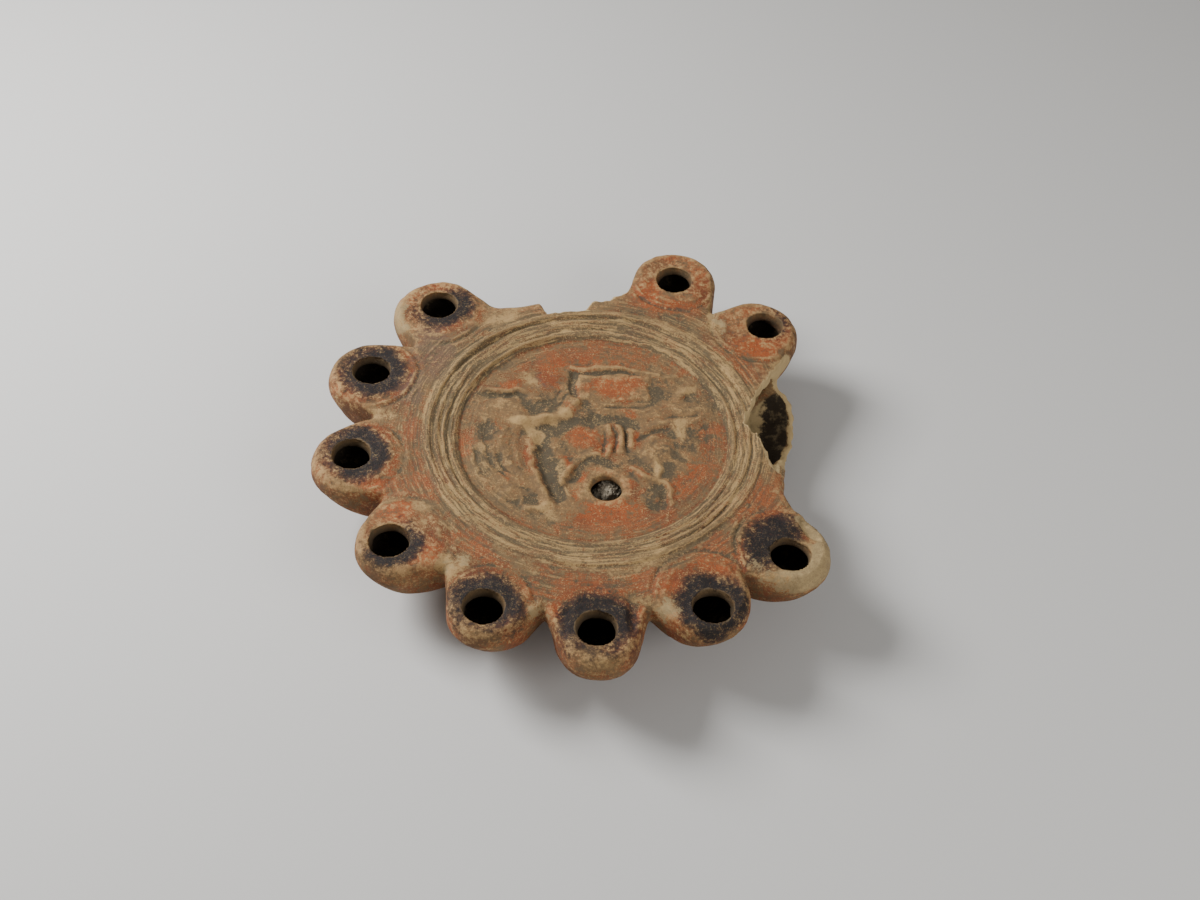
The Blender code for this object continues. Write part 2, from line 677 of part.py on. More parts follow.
def build():
    """Model the lamp in a clean scene."""
    for leftover in list(bpy.data.objects):
        bpy.data.objects.remove(leftover, do_unlink=True)
    lamp = bpy.data.collections.new("clay_oil_lamp")
    tools = bpy.data.collections.new("cutters")
    bpy.context.scene.collection.children.link(lamp)
    bpy.context.scene.collection.children.link(tools)

    vessel = add_vessel(lamp)
    vessel.data.materials.append(fired_clay())
    cut(vessel, add_disc_cutter(tools))
    cut(vessel, add_relief_plate(tools), "UNION")
    cut(vessel, add_cavity(tools))
    cut(vessel, add_hole_cutters(tools))
    for index, spout in enumerate(SPOUTS):
        if spout != BROKEN_SPOUT:
            cut(vessel, add_groove_cutter(index, tools))
    cut(vessel, add_break_cutter("right_break_cutter", RIGHT_BREAK, tools))
    cut(vessel, add_break_cutter("back_break_cutter", BACK_BREAK, tools))
    cut(vessel, add_chip_cutter(tools))
    vessel.data.shade_smooth()
    vessel.data.set_sharp_from_angle(angle=math.radians(35.0))


build()
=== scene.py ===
"""Moulded clay oil lamp with ten wick spouts, a broken side and a broken back, on a pale floor."""

import math

import bmesh
import bpy
import numpy as np
from mathutils import Matrix, Vector
from mathutils.bvhtree import BVHTree


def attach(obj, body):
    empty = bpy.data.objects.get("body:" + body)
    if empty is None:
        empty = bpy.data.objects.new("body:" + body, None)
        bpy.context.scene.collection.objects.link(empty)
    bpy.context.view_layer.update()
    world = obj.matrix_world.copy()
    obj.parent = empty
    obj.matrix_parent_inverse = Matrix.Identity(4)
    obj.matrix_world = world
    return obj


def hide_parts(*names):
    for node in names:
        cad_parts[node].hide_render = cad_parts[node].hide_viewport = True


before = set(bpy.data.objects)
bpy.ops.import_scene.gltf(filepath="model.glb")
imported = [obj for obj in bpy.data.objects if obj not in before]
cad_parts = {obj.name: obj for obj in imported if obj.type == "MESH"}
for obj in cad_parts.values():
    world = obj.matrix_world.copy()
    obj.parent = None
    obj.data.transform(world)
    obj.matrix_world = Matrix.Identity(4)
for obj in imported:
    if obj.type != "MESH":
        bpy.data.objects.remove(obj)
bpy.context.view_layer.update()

for leftover in ("Cube", "Camera", "Light"):
    if leftover in bpy.data.objects:
        bpy.data.objects.remove(bpy.data.objects[leftover], do_unlink=True)


# Fired body. The real lamp is one thin-walled piece of orange-red clay, pressed in an upper and a
# lower mould, joined wet, slipped and fired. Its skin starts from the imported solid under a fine
# even mesh, is softened, and then takes the turned rings, the relief and the wear.
LAMP_TOP = 0.034
DISC_RADIUS = 0.048
DISC_FLOOR_DROP = 0.0044
DISC_HOLLOW = 0.0009
FILL_HOLE = (0.006, -0.0235)
HOLE_RING_RADIUS = 0.086
HOLE_RADIUS = 0.0066
UNDER_PLATE = 0.0262
SKIN_CELL = 0.00068

# Radius and drop below the top, both in millimetres, of the turned rings from the outside inwards
RINGS = (
    (62.6, 1.15), (61.9, 1.3), (61.3, 0.75), (60.6, 0.15), (59.9, 0.0), (59.1, 0.05), (58.4, 0.6),
    (57.6, 1.95), (56.9, 1.6), (56.1, 1.05), (55.5, 1.55), (54.8, 2.0), (54.2, 1.55), (53.7, 1.4),
    (53.1, 1.9), (52.4, 2.9), (51.6, 2.65), (50.7, 2.0), (50.0, 2.45), (49.2, 3.5), (48.3, 4.3),
    (47.6, 4.4),
)

lamp_mesh = bpy.data.meshes.new("lamp_body_skin")
packed = bmesh.new()
packed.from_mesh(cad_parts["lamp_body"].data)
bmesh.ops.remove_doubles(packed, verts=packed.verts, dist=0.000001)
packed.to_mesh(lamp_mesh)
packed.free()


def read_points(mesh, what="co"):
    """Places or normals of a mesh's vertices as rows of three numbers."""
    flat = np.empty(len(mesh.vertices) * 3, dtype=np.float32)
    mesh.vertices.foreach_get(what, flat)
    return flat.reshape(-1, 3).astype(np.float64)


def write_points(mesh, points):
    """Move a mesh's vertices."""
    mesh.vertices.foreach_set("co", points.astype(np.float32).ravel())
    mesh.update()


def stretch(points, plan_from, plan_to, high_from, high_to):
    """Stretch a mesh's plan by radius and its height by level."""
    radius = np.maximum(np.hypot(points[:, 0], points[:, 1]), 1e-9)
    points[:, :2] *= (np.interp(radius, plan_from, plan_to) / radius)[:, None]
    points[:, 2] = np.interp(points[:, 2], high_from, high_to)
    return points


def new_object(name, data):
    """An object of the scene that shows the data."""
    made = bpy.data.objects.new(name, data)
    bpy.context.scene.collection.objects.link(made)
    return made


def applied(item):
    """Give an object the mesh that its modifiers make, in place of its old one."""
    mesh = bpy.data.meshes.new_from_object(item.evaluated_get(bpy.context.evaluated_depsgraph_get()))
    old = item.data
    item.modifiers.clear()
    item.data = mesh
    bpy.data.meshes.remove(old)
    return mesh


# The rings are finer than the rest, so they are stretched while the even mesh is laid and then
# drawn back. The flanks and the inside are squeezed in height, because they need less.
PLAN_TRUE = (0.0, 0.0475, 0.0615, 0.12)
PLAN_WIDE = (0.0, 0.0475, 0.072, 0.1305)
LEVEL_TRUE = (-0.01, 0.0, 0.024, 0.04)
LEVEL_LOW = (-0.01, 0.0, 0.015, 0.031)
write_points(lamp_mesh, stretch(read_points(lamp_mesh), PLAN_TRUE, PLAN_WIDE, LEVEL_TRUE, LEVEL_LOW))
lamp = new_object("lamp_skin", lamp_mesh)
even = lamp.modifiers.new("Even mesh", "REMESH")
even.mode = "VOXEL"
even.voxel_size = SKIN_CELL
skin_mesh = applied(lamp)
write_points(skin_mesh, stretch(read_points(skin_mesh), PLAN_WIDE, PLAN_TRUE, LEVEL_LOW, LEVEL_TRUE))


def smooth_step(low, high, value):
    """0 below low, 1 above high, with a soft change between."""
    share = np.clip((value - low) / (high - low), 0.0, 1.0)
    return share * share * (3.0 - 2.0 * share)


def edge_list(mesh):
    """Pairs of vertex numbers, one for each edge."""
    flat = np.empty(len(mesh.edges) * 2, dtype=np.int32)
    mesh.edges.foreach_get("vertices", flat)
    return flat.reshape(-1, 2)


def neighbour_mean(values, edges, rounds=1):
    """Mean over each vertex's neighbours, and over theirs for each further round."""
    size = len(values)
    first, second = edges[:, 0], edges[:, 1]
    count = np.bincount(first, minlength=size) + np.bincount(second, minlength=size)
    columns = values.reshape(size, -1)
    for _ in range(rounds):
        mean = np.empty_like(columns)
        for column in range(columns.shape[1]):
            total = np.bincount(first, columns[second, column], size)
            total += np.bincount(second, columns[first, column], size)
            mean[:, column] = total / np.maximum(count, 1)
        columns = mean
    return columns.reshape(values.shape)


def grain(points, size, seed):
    """Smooth random unevenness from -1 to 1, with lumps about as wide as size."""
    table = np.random.default_rng(seed).uniform(-1.0, 1.0, 4096)
    place = points / size + 50.0
    cell = np.floor(place).astype(np.int64)
    part = place - cell
    part = part * part * (3.0 - 2.0 * part)
    total = np.zeros(len(points))
    for corner in range(8):
        step = np.array([corner & 1, (corner >> 1) & 1, (corner >> 2) & 1])
        key = (cell + step) @ np.array([73856093, 19349663, 83492791])
        weight = np.prod(np.where(step == 1, part, 1.0 - part), axis=1)
        total += weight * table[key & 4095]
    return total


# Spouts: angle of the wick hole, reach of the tip past it, sideways shift and radius of the round
# top. Each stands between two notches: angle and radius.
SPOUTS = (
    (42.6, 0.013, 0.0008, 0.016), (70.8, 0.018, 0.0, 0.0162), (136.2, 0.016, 0.0018, 0.0172),
    (164.6, 0.016, 0.0006, 0.016), (192.3, 0.015, 0.0008, 0.0158), (220.2, 0.0122, 0.0004, 0.0158),
    (248.2, 0.012, 0.0006, 0.0138), (273.4, 0.0152, 0.001, 0.0126), (299.8, 0.01, 0.0002, 0.0158),
    (323.2, 0.013, 0.0018, 0.0158),
)
NOTCHES = (
    (29.05, 0.0795), (56.7, 0.0795), (82.2, 0.0765), (124.2, 0.076), (150.4, 0.0795), (178.45, 0.0795),
    (206.25, 0.0795), (234.2, 0.0795), (260.8, 0.0795), (286.6, 0.0795), (311.5, 0.0795), (336.6, 0.079),
)
FOOT_HEIGHT = 0.002
FOOT_RADIUS = 0.047
WIDEST_HEIGHT = 0.026
LOBE_CURVE = 2.05
NOTCH_CURVE = 1.45
LOBE_FACETS = 8.8


def flare(share, wide, curve):
    """Radius of the flank at a share of its height."""
    return FOOT_RADIUS + (wide - FOOT_RADIUS) * (1.0 - (1.0 - share) ** curve)


def spout_axes(degrees):
    """Directions along and across a spout, seen from above."""
    axis = np.array((math.cos(math.radians(degrees)), math.sin(math.radians(degrees))))
    return axis, np.array((-axis[1], axis[0]))


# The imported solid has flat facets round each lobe, so its flanks are pushed out to true arcs
points = read_points(skin_mesh)
share = np.clip((points[:, 2] - FOOT_HEIGHT) / (WIDEST_HEIGHT - FOOT_HEIGHT), 0.0, 1.0)
for degrees, reach, shift, top_radius in SPOUTS:
    axis, side = spout_axes(degrees)
    after = min(index for index, notch in enumerate(NOTCHES) if notch[0] > degrees)
    fit_wide, fit, low_notches = [], [], []
    tip = flare(share, HOLE_RING_RADIUS + reach, LOBE_CURVE)
    for notch_degrees, notch_radius in (NOTCHES[after - 1], NOTCHES[after]):
        turn = math.radians(abs(notch_degrees - degrees))
        gap = HOLE_RING_RADIUS + reach - notch_radius * math.cos(turn)
        fit_wide.append((gap * gap + (notch_radius * math.sin(turn)) ** 2) / (2.0 * gap))
        low = flare(share, notch_radius, NOTCH_CURVE)
        gap = np.maximum(tip - low * math.cos(turn), 0.0001)
        fit.append((gap * gap + (low * math.sin(turn)) ** 2) / (2.0 * gap))
        low_notches.append((low * math.cos(turn), low * math.sin(turn)))
    slimness = 1.0 - min(top_radius / min(fit_wide), 0.9999)
    round_radius = np.minimum(fit[0], fit[1]) * (1.0 - slimness * share * share)
    middle = tip - round_radius
    ends = []
    for (notch_x, notch_y), way in zip(low_notches, (1.0, -1.0)):
        off_x, off_y = notch_x - middle, notch_y + way * shift * share
        opening = np.arccos(np.minimum(round_radius / np.hypot(off_x, off_y), 1.0))
        ends.append(np.arctan2(off_y, off_x) - opening)
    ahead = points[:, :2] @ axis - middle
    aside = points[:, :2] @ side - shift * share
    facet = (ends[0] + ends[1]) / LOBE_FACETS
    count = (np.arctan2(aside, ahead) + ends[0]) / facet - 0.4
    on_arc = (count > 0.0) & (count < 8.0) & (np.hypot(ahead, aside) > round_radius - 0.003)
    on_arc &= (points[:, 2] > FOOT_HEIGHT) & (points[:, :2] @ axis > 0.0)
    turn = (count - np.floor(count) - 0.5) * facet
    grow = np.where(on_arc, np.cos(turn) / np.cos(facet / 2.0) - 1.0, 0.0)
    points[:, :2] += grow[:, None] * (ahead[:, None] * axis + aside[:, None] * side)
write_points(skin_mesh, points)


def facing_out(points, normals):
    """1 where the surface faces straight away from the lamp's axis, -1 where it faces the axis."""
    radius = np.maximum(np.hypot(points[:, 0], points[:, 1]), 1e-6)
    return np.einsum("ij,ij->i", points[:, :2], normals[:, :2]) / radius


# The two breaks: bearings in degrees over which each fades in and out, and the radius each starts
# at. Above the last value, steep faces belong to the plate.
RIGHT_BREAK = (-19.0, -16.0, 30.5, 33.0)
BACK_BREAK = (81.0, 84.0, 110.0, 112.0)
RIGHT_BREAK_RADIUS = 0.0535
BACK_BREAK_RADIUS = 0.059
PLATE_FROM = 0.0235


def band(value, stops):
    """1 between the middle two of four stops, and 0 outside the outer two."""
    return smooth_step(stops[0], stops[1], value) * (1.0 - smooth_step(stops[2], stops[3], value))


def broken_faces(mesh, steepness):
    """How far each vertex lies on a broken face: the plate's steep edges and the low walls' tops."""
    points = read_points(mesh)
    normals = read_points(mesh, "normal")
    radius = np.hypot(points[:, 0], points[:, 1])
    bearing = np.degrees(np.arctan2(points[:, 1], points[:, 0]))
    right = band(bearing, RIGHT_BREAK) * (radius > RIGHT_BREAK_RADIUS)
    back = band(bearing, BACK_BREAK) * (radius > BACK_BREAK_RADIUS)
    plate_edge = (np.abs(normals[:, 2]) < steepness) & (points[:, 2] > PLATE_FROM)
    wall_rim = (normals[:, 2] > 0.12) & (radius > 0.066) & (points[:, 2] < 0.0315)
    broken = np.maximum(right, back) * (facing_out(points, normals) > 0.15) * (plate_edge | wall_rim)
    return neighbour_mean(broken, edge_list(mesh), 2)


# Mould-soft edges: all is softened, but the breaks and the foot hardly at all, and the flats and the
# top only in the first rounds
SOFTENING_ROUNDS = 32
FLATS_HELD_FROM = 4
TOP_HELD_FROM = 8

edges = edge_list(skin_mesh)
points = read_points(skin_mesh)
normals = read_points(skin_mesh, "normal")
bearing = np.degrees(np.arctan2(points[:, 1], points[:, 0]))
radius = np.hypot(points[:, 0], points[:, 1])
broken = broken_faces(skin_mesh, 0.6)
hold = smooth_step(0.15, 0.6, broken) * (0.55 + 0.45 * smooth_step(0.024, 0.027, points[:, 2]))
hold = np.maximum(hold, 1.0 - smooth_step(0.0002, 0.0012, points[:, 2]))
flat_part = smooth_step(0.85, 0.97, np.abs(normals[:, 2])) * (points[:, 2] > 0.027)
for turn in range(SOFTENING_ROUNDS):
    give = 0.5 * (1.0 - 0.85 * hold)
    if turn >= FLATS_HELD_FROM:
        give = give * (1.0 - flat_part)
    if turn >= TOP_HELD_FROM:
        give = give * (1.0 - smooth_step(0.0245, 0.0275, points[:, 2]))
    points += give[:, None] * (neighbour_mean(points, edges) - points)

# The low wall left standing on the right swells out in its middle
SWELL_BEARINGS = (-18.0, -13.0, -8.0, -2.0, 3.0, 8.0, 14.0, 22.0)
SWELL_REACH = (0.0, -0.7, -0.6, 0.8, 2.0, 2.1, 1.0, 0.0)
swell = np.interp(bearing, SWELL_BEARINGS, SWELL_REACH) * smooth_step(0.002, 0.009, points[:, 2])
swell = swell * (1.0 - smooth_step(0.0215, 0.025, points[:, 2]))
points[:, :2] *= (1.0 + 0.001 * swell * (radius > 0.045) / np.maximum(radius, 0.01))[:, None]
write_points(skin_mesh, points)
normals = read_points(skin_mesh, "normal")
radius = np.hypot(points[:, 0], points[:, 1])
angle = np.arctan2(points[:, 1], points[:, 0])


def distance_to_path(plan, path):
    """Distance from each plan point to a path of straight strokes, in the path's units."""
    nearest = np.full(len(plan), 1e9)
    stops = np.array(path, dtype=float)
    for start, end in zip(stops, stops[1:]):
        way = end - start
        share = np.clip((plan - start) @ way / (way @ way), 0.0, 1.0)
        nearest = np.minimum(nearest, np.hypot(*(plan - start - share[:, None] * way).T))
    return nearest


def oval(plan, middle, half, turn):
    """0 at the middle of an oval, 1 on its edge, more outside."""
    lean = math.radians(turn)
    away = plan - np.array(middle, dtype=float)
    along = away[:, 0] * math.cos(lean) + away[:, 1] * math.sin(lean)
    across = away[:, 1] * math.cos(lean) - away[:, 0] * math.sin(lean)
    return np.hypot(along / half[0], across / half[1])


# Worn relief, in millimetres: rounded mounds (middle, half sizes, turn, height), then strokes
# (path, half width, height) with the cut ones below zero
MOUNDS = (
    ((-33, -14), (12.5, 22), 10, 0.95), ((-33, 6), (12, 10.5), 0, 1), ((-37.5, 11), (5.5, 4), -15, 0.45),
    ((-24, -24), (6, 8), 30, 0.45), ((31, 12.5), (14, 8), 8, 0.75), ((23, -5), (7, 8), -25, 0.75),
    ((35, -4), (7, 6), 10, 0.35), ((-2.5, -1), (5.5, 6), 0, 0.35), ((-9.5, -15), (2.6, 6.5), 8, 0.55),
    ((-3.4, -25), (2.8, 5.5), 5, 0.35),
)
STROKES = (
    (((-45, 19.2), (-39, 18.7), (-33, 18.4), (-28, 20.7), (-24, 19.2), (-21, 16)), 2.3, 0.75),
    (((-44, 17.6), (-38, 16.6), (-33, 15.8), (-28.5, 18.2), (-25.5, 17)), 1.5, -0.95),
    (((-27, 5.5), (-20, 5.6), (-14.5, 8), (-10.5, 12), (-8, 16.5)), 3, 1.35),
    (((-28, 7), (-25.5, 1.5), (-23, -3)), 2.2, 0.9),
    (((-22.5, -2), (-21.2, -11), (-19, -19), (-16.3, -25), (-14.6, -30)), 3.2, 1.25),
    (((-14.4, -30), (-15.2, -33.8), (-20, -35.6)), 2.1, 1.1),
    (((-13, -31), (-12, -35), (-13.5, -38)), 1.8, 0.5),
    (((-19.3, 0.5), (-17.2, -8), (-15.6, -16), (-13.6, -23), (-10.6, -28)), 3.3, -1.3),
    (((-23, 0.5), (-14, 2.8), (-7, 6.6), (1, 8.6), (9, 8.2), (14.5, 6)), 3.4, -0.75),
    (((-39.5, 0.5), (-38.5, -5)), 3, -0.8),
    (((-36, 9), (-30, 1), (-28, -6)), 1.3, -0.4),
    (((-31.5, 4), (-33.5, -4), (-31, -11)), 1.4, 0.5),
    (((-41.5, -12), (-38, -20), (-31, -27)), 1.3, -0.5),
    (((-37.5, -9), (-35, -17), (-28.5, -24), (-22, -27)), 1.2, -0.5),
    (((-33, -12), (-30.5, -19), (-25, -22.5)), 1.1, -0.45),
    (((-29, -5), (-27.5, -13), (-24, -18.5)), 1.1, -0.5),
    (((-25.5, -3), (-24.6, -10), (-22.5, -17)), 1, -0.4),
    (((-38, -24), (-32, -31), (-25, -33.5)), 1.3, -0.4),
    (((-43, -4), (-43.5, -12), (-41, -20), (-36, -27)), 1.6, 0.45),
    (((-24, -29), (-23.4, -33)), 0.9, 0.5),
    (((-9, 33.6), (0, 34.4), (10, 33.9), (17, 33.6), (22, 32)), 1.5, 0.85),
    (((-5.5, 32), (4, 32.1), (14, 32.2)), 1.2, -0.5),
    (((-7.6, 31.5), (-7.3, 26), (-8, 20.5)), 1.6, -0.95),
    (((-1, 17.5), (8, 16.8), (17.5, 16.6)), 1, 0.55),
    (((1, 14.7), (9, 14.2), (17, 14.6)), 1, 0.35),
    (((4.5, 15.8), (17, 15.6)), 0.8, -0.45),
    (((-9, 21), (-13, 14), (-20, 10.6)), 2.1, 0.4),
    (((-10.5, 20), (-14.5, 14), (-19, 12.3)), 0.7, -0.35),
    (((-12.8, 21), (-16.5, 16), (-20.5, 14.5)), 0.7, -0.3),
    (((-8, 17.5), (-11.5, 12.5), (-17, 9.4)), 0.7, -0.3),
    (((3.6, 3.8), (3.9, -6.5)), 0.9, -0.75),
    (((7.8, 4.2), (8.1, -6)), 0.9, -0.8),
    (((11.2, 4.6), (12.2, -5.2)), 0.9, -0.8),
    (((5.7, 4.5), (5.6, -9)), 1.5, 0.75),
    (((9.7, 4.8), (9.9, -6.2)), 1.4, 0.6),
    (((13.4, 4.2), (13.8, -3.6)), 1.4, 0.5),
    (((-8.2, -22.5), (-8.5, -17), (-6.2, -12.6), (-2, -9.6), (1.6, -8.6)), 2.1, 1.1),
    (((-6.5, -28.5), (-7.6, -23.5), (-6.6, -18.5), (-3.4, -14.9), (1, -13)), 1.2, 0.45),
    (((-5.6, -20), (-4, -16), (0.5, -12), (5.5, -10.9), (9.5, -12.3), (14.5, -16.5)), 2.3, -0.5),
    (
        ((9.6, -10.4), (13.5, -13.4), (18, -17.4), (22.5, -19.3), (26.5, -20.6), (29, -24), (28.2, -28.6)),
        1.8, 1,
    ),
    (((23.5, -23), (26.6, -26), (25, -30), (20.5, -31)), 1.7, -0.55),
    (((18, -24.5), (20, -28), (23.5, -27)), 1.3, 0.4),
    (((31, 20.5), (33.2, 25), (36, 27), (40.5, 27.3)), 2.4, 1.1),
    (((32, 20.6), (36.5, 22.6), (40, 23.3)), 1.1, -0.6),
    (((33.5, 18), (38, 20), (42.5, 22)), 1.2, 0.4),
    (((18, 13.2), (26, 14.8), (34, 15.4), (44, 16.6)), 1.2, 0.5),
    (((20, 9), (28, 11), (38, 12)), 1, -0.5),
    (((17, 3), (22, 6.8), (28, 8.6)), 1.2, 0.45),
    (((16, -1), (21.5, 3.5), (27.5, 5.5)), 1, -0.4),
    (((26, -0.5), (30.5, 0.5), (36, 0)), 1.4, 0.4),
    (((22.5, -9), (24.2, -13.5), (23.4, -18)), 1.8, 0.7),
    (((28, -10), (33, -12.5), (39, -13)), 1.1, 0.35),
    (((36, 33.4), (40, 29.4), (43.4, 24)), 1.3, -0.8),
    (((23, 31), (30, 31.5), (36.5, 33.2)), 1.3, 0.55),
    (((38.4, 34.2), (42.2, 30), (45.3, 24)), 1.1, 0.45),
    (((-30, 31), (-24, 29.5), (-20, 31.5)), 1.3, 0.35),
    (((-36, 23.5), (-30, 25), (-24, 24)), 1.6, 0.35),
)
# A raised panel (middle, half sizes and soft edge), a collar round the filling hole (radius and half
# width), and feathers that fan out from one foot, each turned by the same step in degrees
PANEL = ((7.0, 24.6), (12.3, 5.6), 1.3)
COLLAR = (7.9, 2.1)
FEATHERS = 7
FEATHER_FOOT = (31.6, -1.5)
FEATHER_LENGTH = 10.5
FIRST_FEATHER = 112.0
FEATHER_STEP = 13.0


def carved(true_plan):
    """Height of the worn carving above the disc's floor, in millimetres, and its cut part alone."""
    spots = np.column_stack((true_plan, np.zeros(len(true_plan)))) * 0.001
    wander = [1.3 * grain(spots, 0.008, seed) + 0.7 * grain(spots, 0.0032, seed + 1) for seed in (31, 33)]
    plan = true_plan + np.stack(wander, axis=1)
    uneven = 0.8 + 0.45 * grain(spots, 0.006, 35) + 0.25 * grain(spots, 0.0025, 36)
    height = np.zeros(len(plan))
    for middle, half, turn, rise in MOUNDS:
        height = np.maximum(height, rise * (1.0 - smooth_step(0.55, 1.1, oval(plan, middle, half, turn))))
    raised = np.zeros(len(plan))
    sunk = np.zeros(len(plan))
    for path, half_width, rise in STROKES:
        shape = uneven * (1.0 - smooth_step(0.0, 1.3 * half_width, distance_to_path(plan, path)))
        if rise > 0.0:
            raised = np.maximum(raised, rise * shape)
        else:
            sunk = np.minimum(sunk, rise * shape)
    for feather in range(FEATHERS):
        lean = math.radians(FIRST_FEATHER - FEATHER_STEP * feather)
        tip_x = FEATHER_FOOT[0] + FEATHER_LENGTH * math.cos(lean)
        tip = (tip_x, FEATHER_FOOT[1] + FEATHER_LENGTH * math.sin(lean))
        strand = 1.0 - smooth_step(0.0, 0.85, distance_to_path(plan, (FEATHER_FOOT, tip)))
        raised = np.maximum(raised, 0.45 * strand * uneven)
    panel = np.ones(len(plan))
    middle, half, edge = PANEL
    for way in (0, 1):
        panel *= 1.0 - smooth_step(half[way], half[way] + edge, np.abs(plan[:, way] - middle[way]))
    from_hole = np.hypot(true_plan[:, 0] - FILL_HOLE[0] * 1000.0, true_plan[:, 1] - FILL_HOLE[1] * 1000.0)
    collar = 1.0 - smooth_step(0.0, COLLAR[1], np.abs(from_hole - COLLAR[0]))
    base = np.maximum(np.maximum(height, 0.6 * panel), 0.3 * collar * uneven)
    return np.maximum(base, raised) + 0.45 * np.minimum(base, raised) + sunk, sunk


# The disc and its rings, laid over the softened plate: radii between which the disc gives way to
# the rings, the rings to the spouts, and the plate to the filling hole
DISC_TO_RINGS = (0.0472, 0.048)
RINGS_TO_SPOUTS = (0.0612, 0.0626)
PLATE_TO_HOLE = (0.0056, 0.0066)

plan = points[:, :2] * 1000.0
around = np.stack((np.cos(angle), np.sin(angle)), axis=1)


def turned(width, turns, seed):
    """Random lines that run round the lamp, about as wide as width and shorter with more turns."""
    place = np.column_stack((radius / width, around[:, 0] * turns, around[:, 1] * turns))
    return grain(place, 1.0, seed)


flat_plan = points * (1.0, 1.0, 0.0)
wobble = 0.4 * grain(flat_plan, 0.03, 3) + 0.14 * grain(flat_plan, 0.008, 4)
ring_radius = radius * 1000.0 + wobble * smooth_step(0.047, 0.05, radius)
ring_places = np.array(RINGS)[::-1]
drop = np.interp(ring_radius, ring_places[:, 0], ring_places[:, 1])
ring_wear = 0.62 + 0.6 * turned(0.0022, 1.6, 5) + 0.2 * grain(points, 0.006, 8)
mean_drop = np.interp(ring_radius, (47.6, 52.0, 60.0, 62.6), (4.4, 2.45, 0.75, 1.15))
drop = mean_drop + (drop - mean_drop) * ring_wear
drop += 0.26 * turned(0.0007, 2.5, 9) + 0.14 * turned(0.0004, 4.0, 10) + 0.12 * grain(points, 0.0022, 20)
floor_drop = DISC_FLOOR_DROP * 1000.0 + DISC_HOLLOW * 1000.0 * (1.0 - (radius / DISC_RADIUS) ** 2)
relief, cut = carved(plan)
fade = 1.0 - smooth_step(0.0445, 0.0476, radius)
wear = 0.14 * grain(points, 0.0048, 6) + 0.09 * grain(points, 0.0022, 7)
wear += 0.14 * turned(0.0008, 2.5, 17) * smooth_step(0.036, 0.044, radius)
disc_height = LAMP_TOP - (floor_drop - (1.1 * relief * fade + wear)) / 1000.0
ring_height = LAMP_TOP - drop / 1000.0
inside_disc = 1.0 - smooth_step(*DISC_TO_RINGS, radius)
new_top = inside_disc * disc_height + (1.0 - inside_disc) * ring_height
from_fill = np.hypot(points[:, 0] - FILL_HOLE[0], points[:, 1] - FILL_HOLE[1])
take = smooth_step(0.35, 0.6, normals[:, 2]) * (points[:, 2] > UNDER_PLATE)
take = take * (1.0 - smooth_step(*RINGS_TO_SPOUTS, radius)) * smooth_step(*PLATE_TO_HOLE, from_fill)
take = take * (1.0 - smooth_step(0.2, 0.6, broken))
points[:, 2] += take * (new_top - points[:, 2])

# Spout tops: a fine raised line and a scored line round the back of each wick hole. The holes widen
# a little at the top.
BORE_RADIUS = 0.0064
BORE_FLARE = 0.0007
BORE_REACH = 0.0078

flat_top = smooth_step(0.75, 0.95, normals[:, 2]) * smooth_step(0.0622, 0.0632, radius)
flat_top = flat_top * (points[:, 2] > 0.0295)
from_holes = np.full(len(points), 1.0)
line_wear = np.clip(0.6 + 0.7 * grain(points, 0.0085, 25), 0.15, 1.0)
for degrees, reach, shift, top_radius in SPOUTS:
    axis, side = spout_axes(degrees)
    hole = axis * HOLE_RING_RADIUS
    middle = axis * (HOLE_RING_RADIUS + reach - top_radius) + side * shift
    away = points[:, :2] - middle
    distance = np.hypot(away[:, 0], away[:, 1])
    behind = 1.0 - smooth_step(-0.2, 0.5, (away @ axis) / top_radius)
    lines = 0.45 * np.exp(-((distance - top_radius - 0.0002) / 0.0006) ** 2)
    lines -= 0.45 * np.exp(-((distance - top_radius - 0.0018) / 0.0007) ** 2)
    lines += 0.25 * np.exp(-((distance - top_radius - 0.0034) / 0.0007) ** 2)
    points[:, 2] += 0.001 * lines * behind * flat_top * line_wear
    from_hole = np.hypot(points[:, 0] - hole[0], points[:, 1] - hole[1])
    from_holes = np.minimum(from_holes, from_hole)
    bead = np.exp(-((distance - top_radius + 0.0026) / 0.0013) ** 2)
    bead -= 0.6 * np.exp(-((from_hole - HOLE_RADIUS - 0.002) / 0.0016) ** 2)
    points[:, 2] += 0.0003 * bead * flat_top
    bore = (from_hole < BORE_REACH) & (points[:, 2] > 0.027) & (np.abs(normals[:, 2]) < 0.75)
    bore_radius = BORE_RADIUS + BORE_FLARE * smooth_step(0.03, 0.033, points[bore, 2])
    bore_radius += 0.00025 * grain(points[bore], 0.0045, 18)
    points[bore, :2] = hole + (points[bore, :2] - hole) * (bore_radius / from_hole[bore])[:, None]

# Spall beside the last wick hole: a shallow facet with a crisp edge
CHIP = ((79.5, -39.5), (8.6, 5.4), -28.0)
chip_edge = oval(points[:, :2] * 1000.0 + 1.2 * grain(points, 0.004, 41)[:, None], *CHIP)
chipped_off = 1.0 - smooth_step(0.86, 1.0, chip_edge)
chipped_off = chipped_off * (normals[:, 2] > 0.2) * (points[:, 2] > 0.027)
points[:, 2] -= (0.0013 + 0.0004 * grain(points, 0.003, 42)) * chipped_off

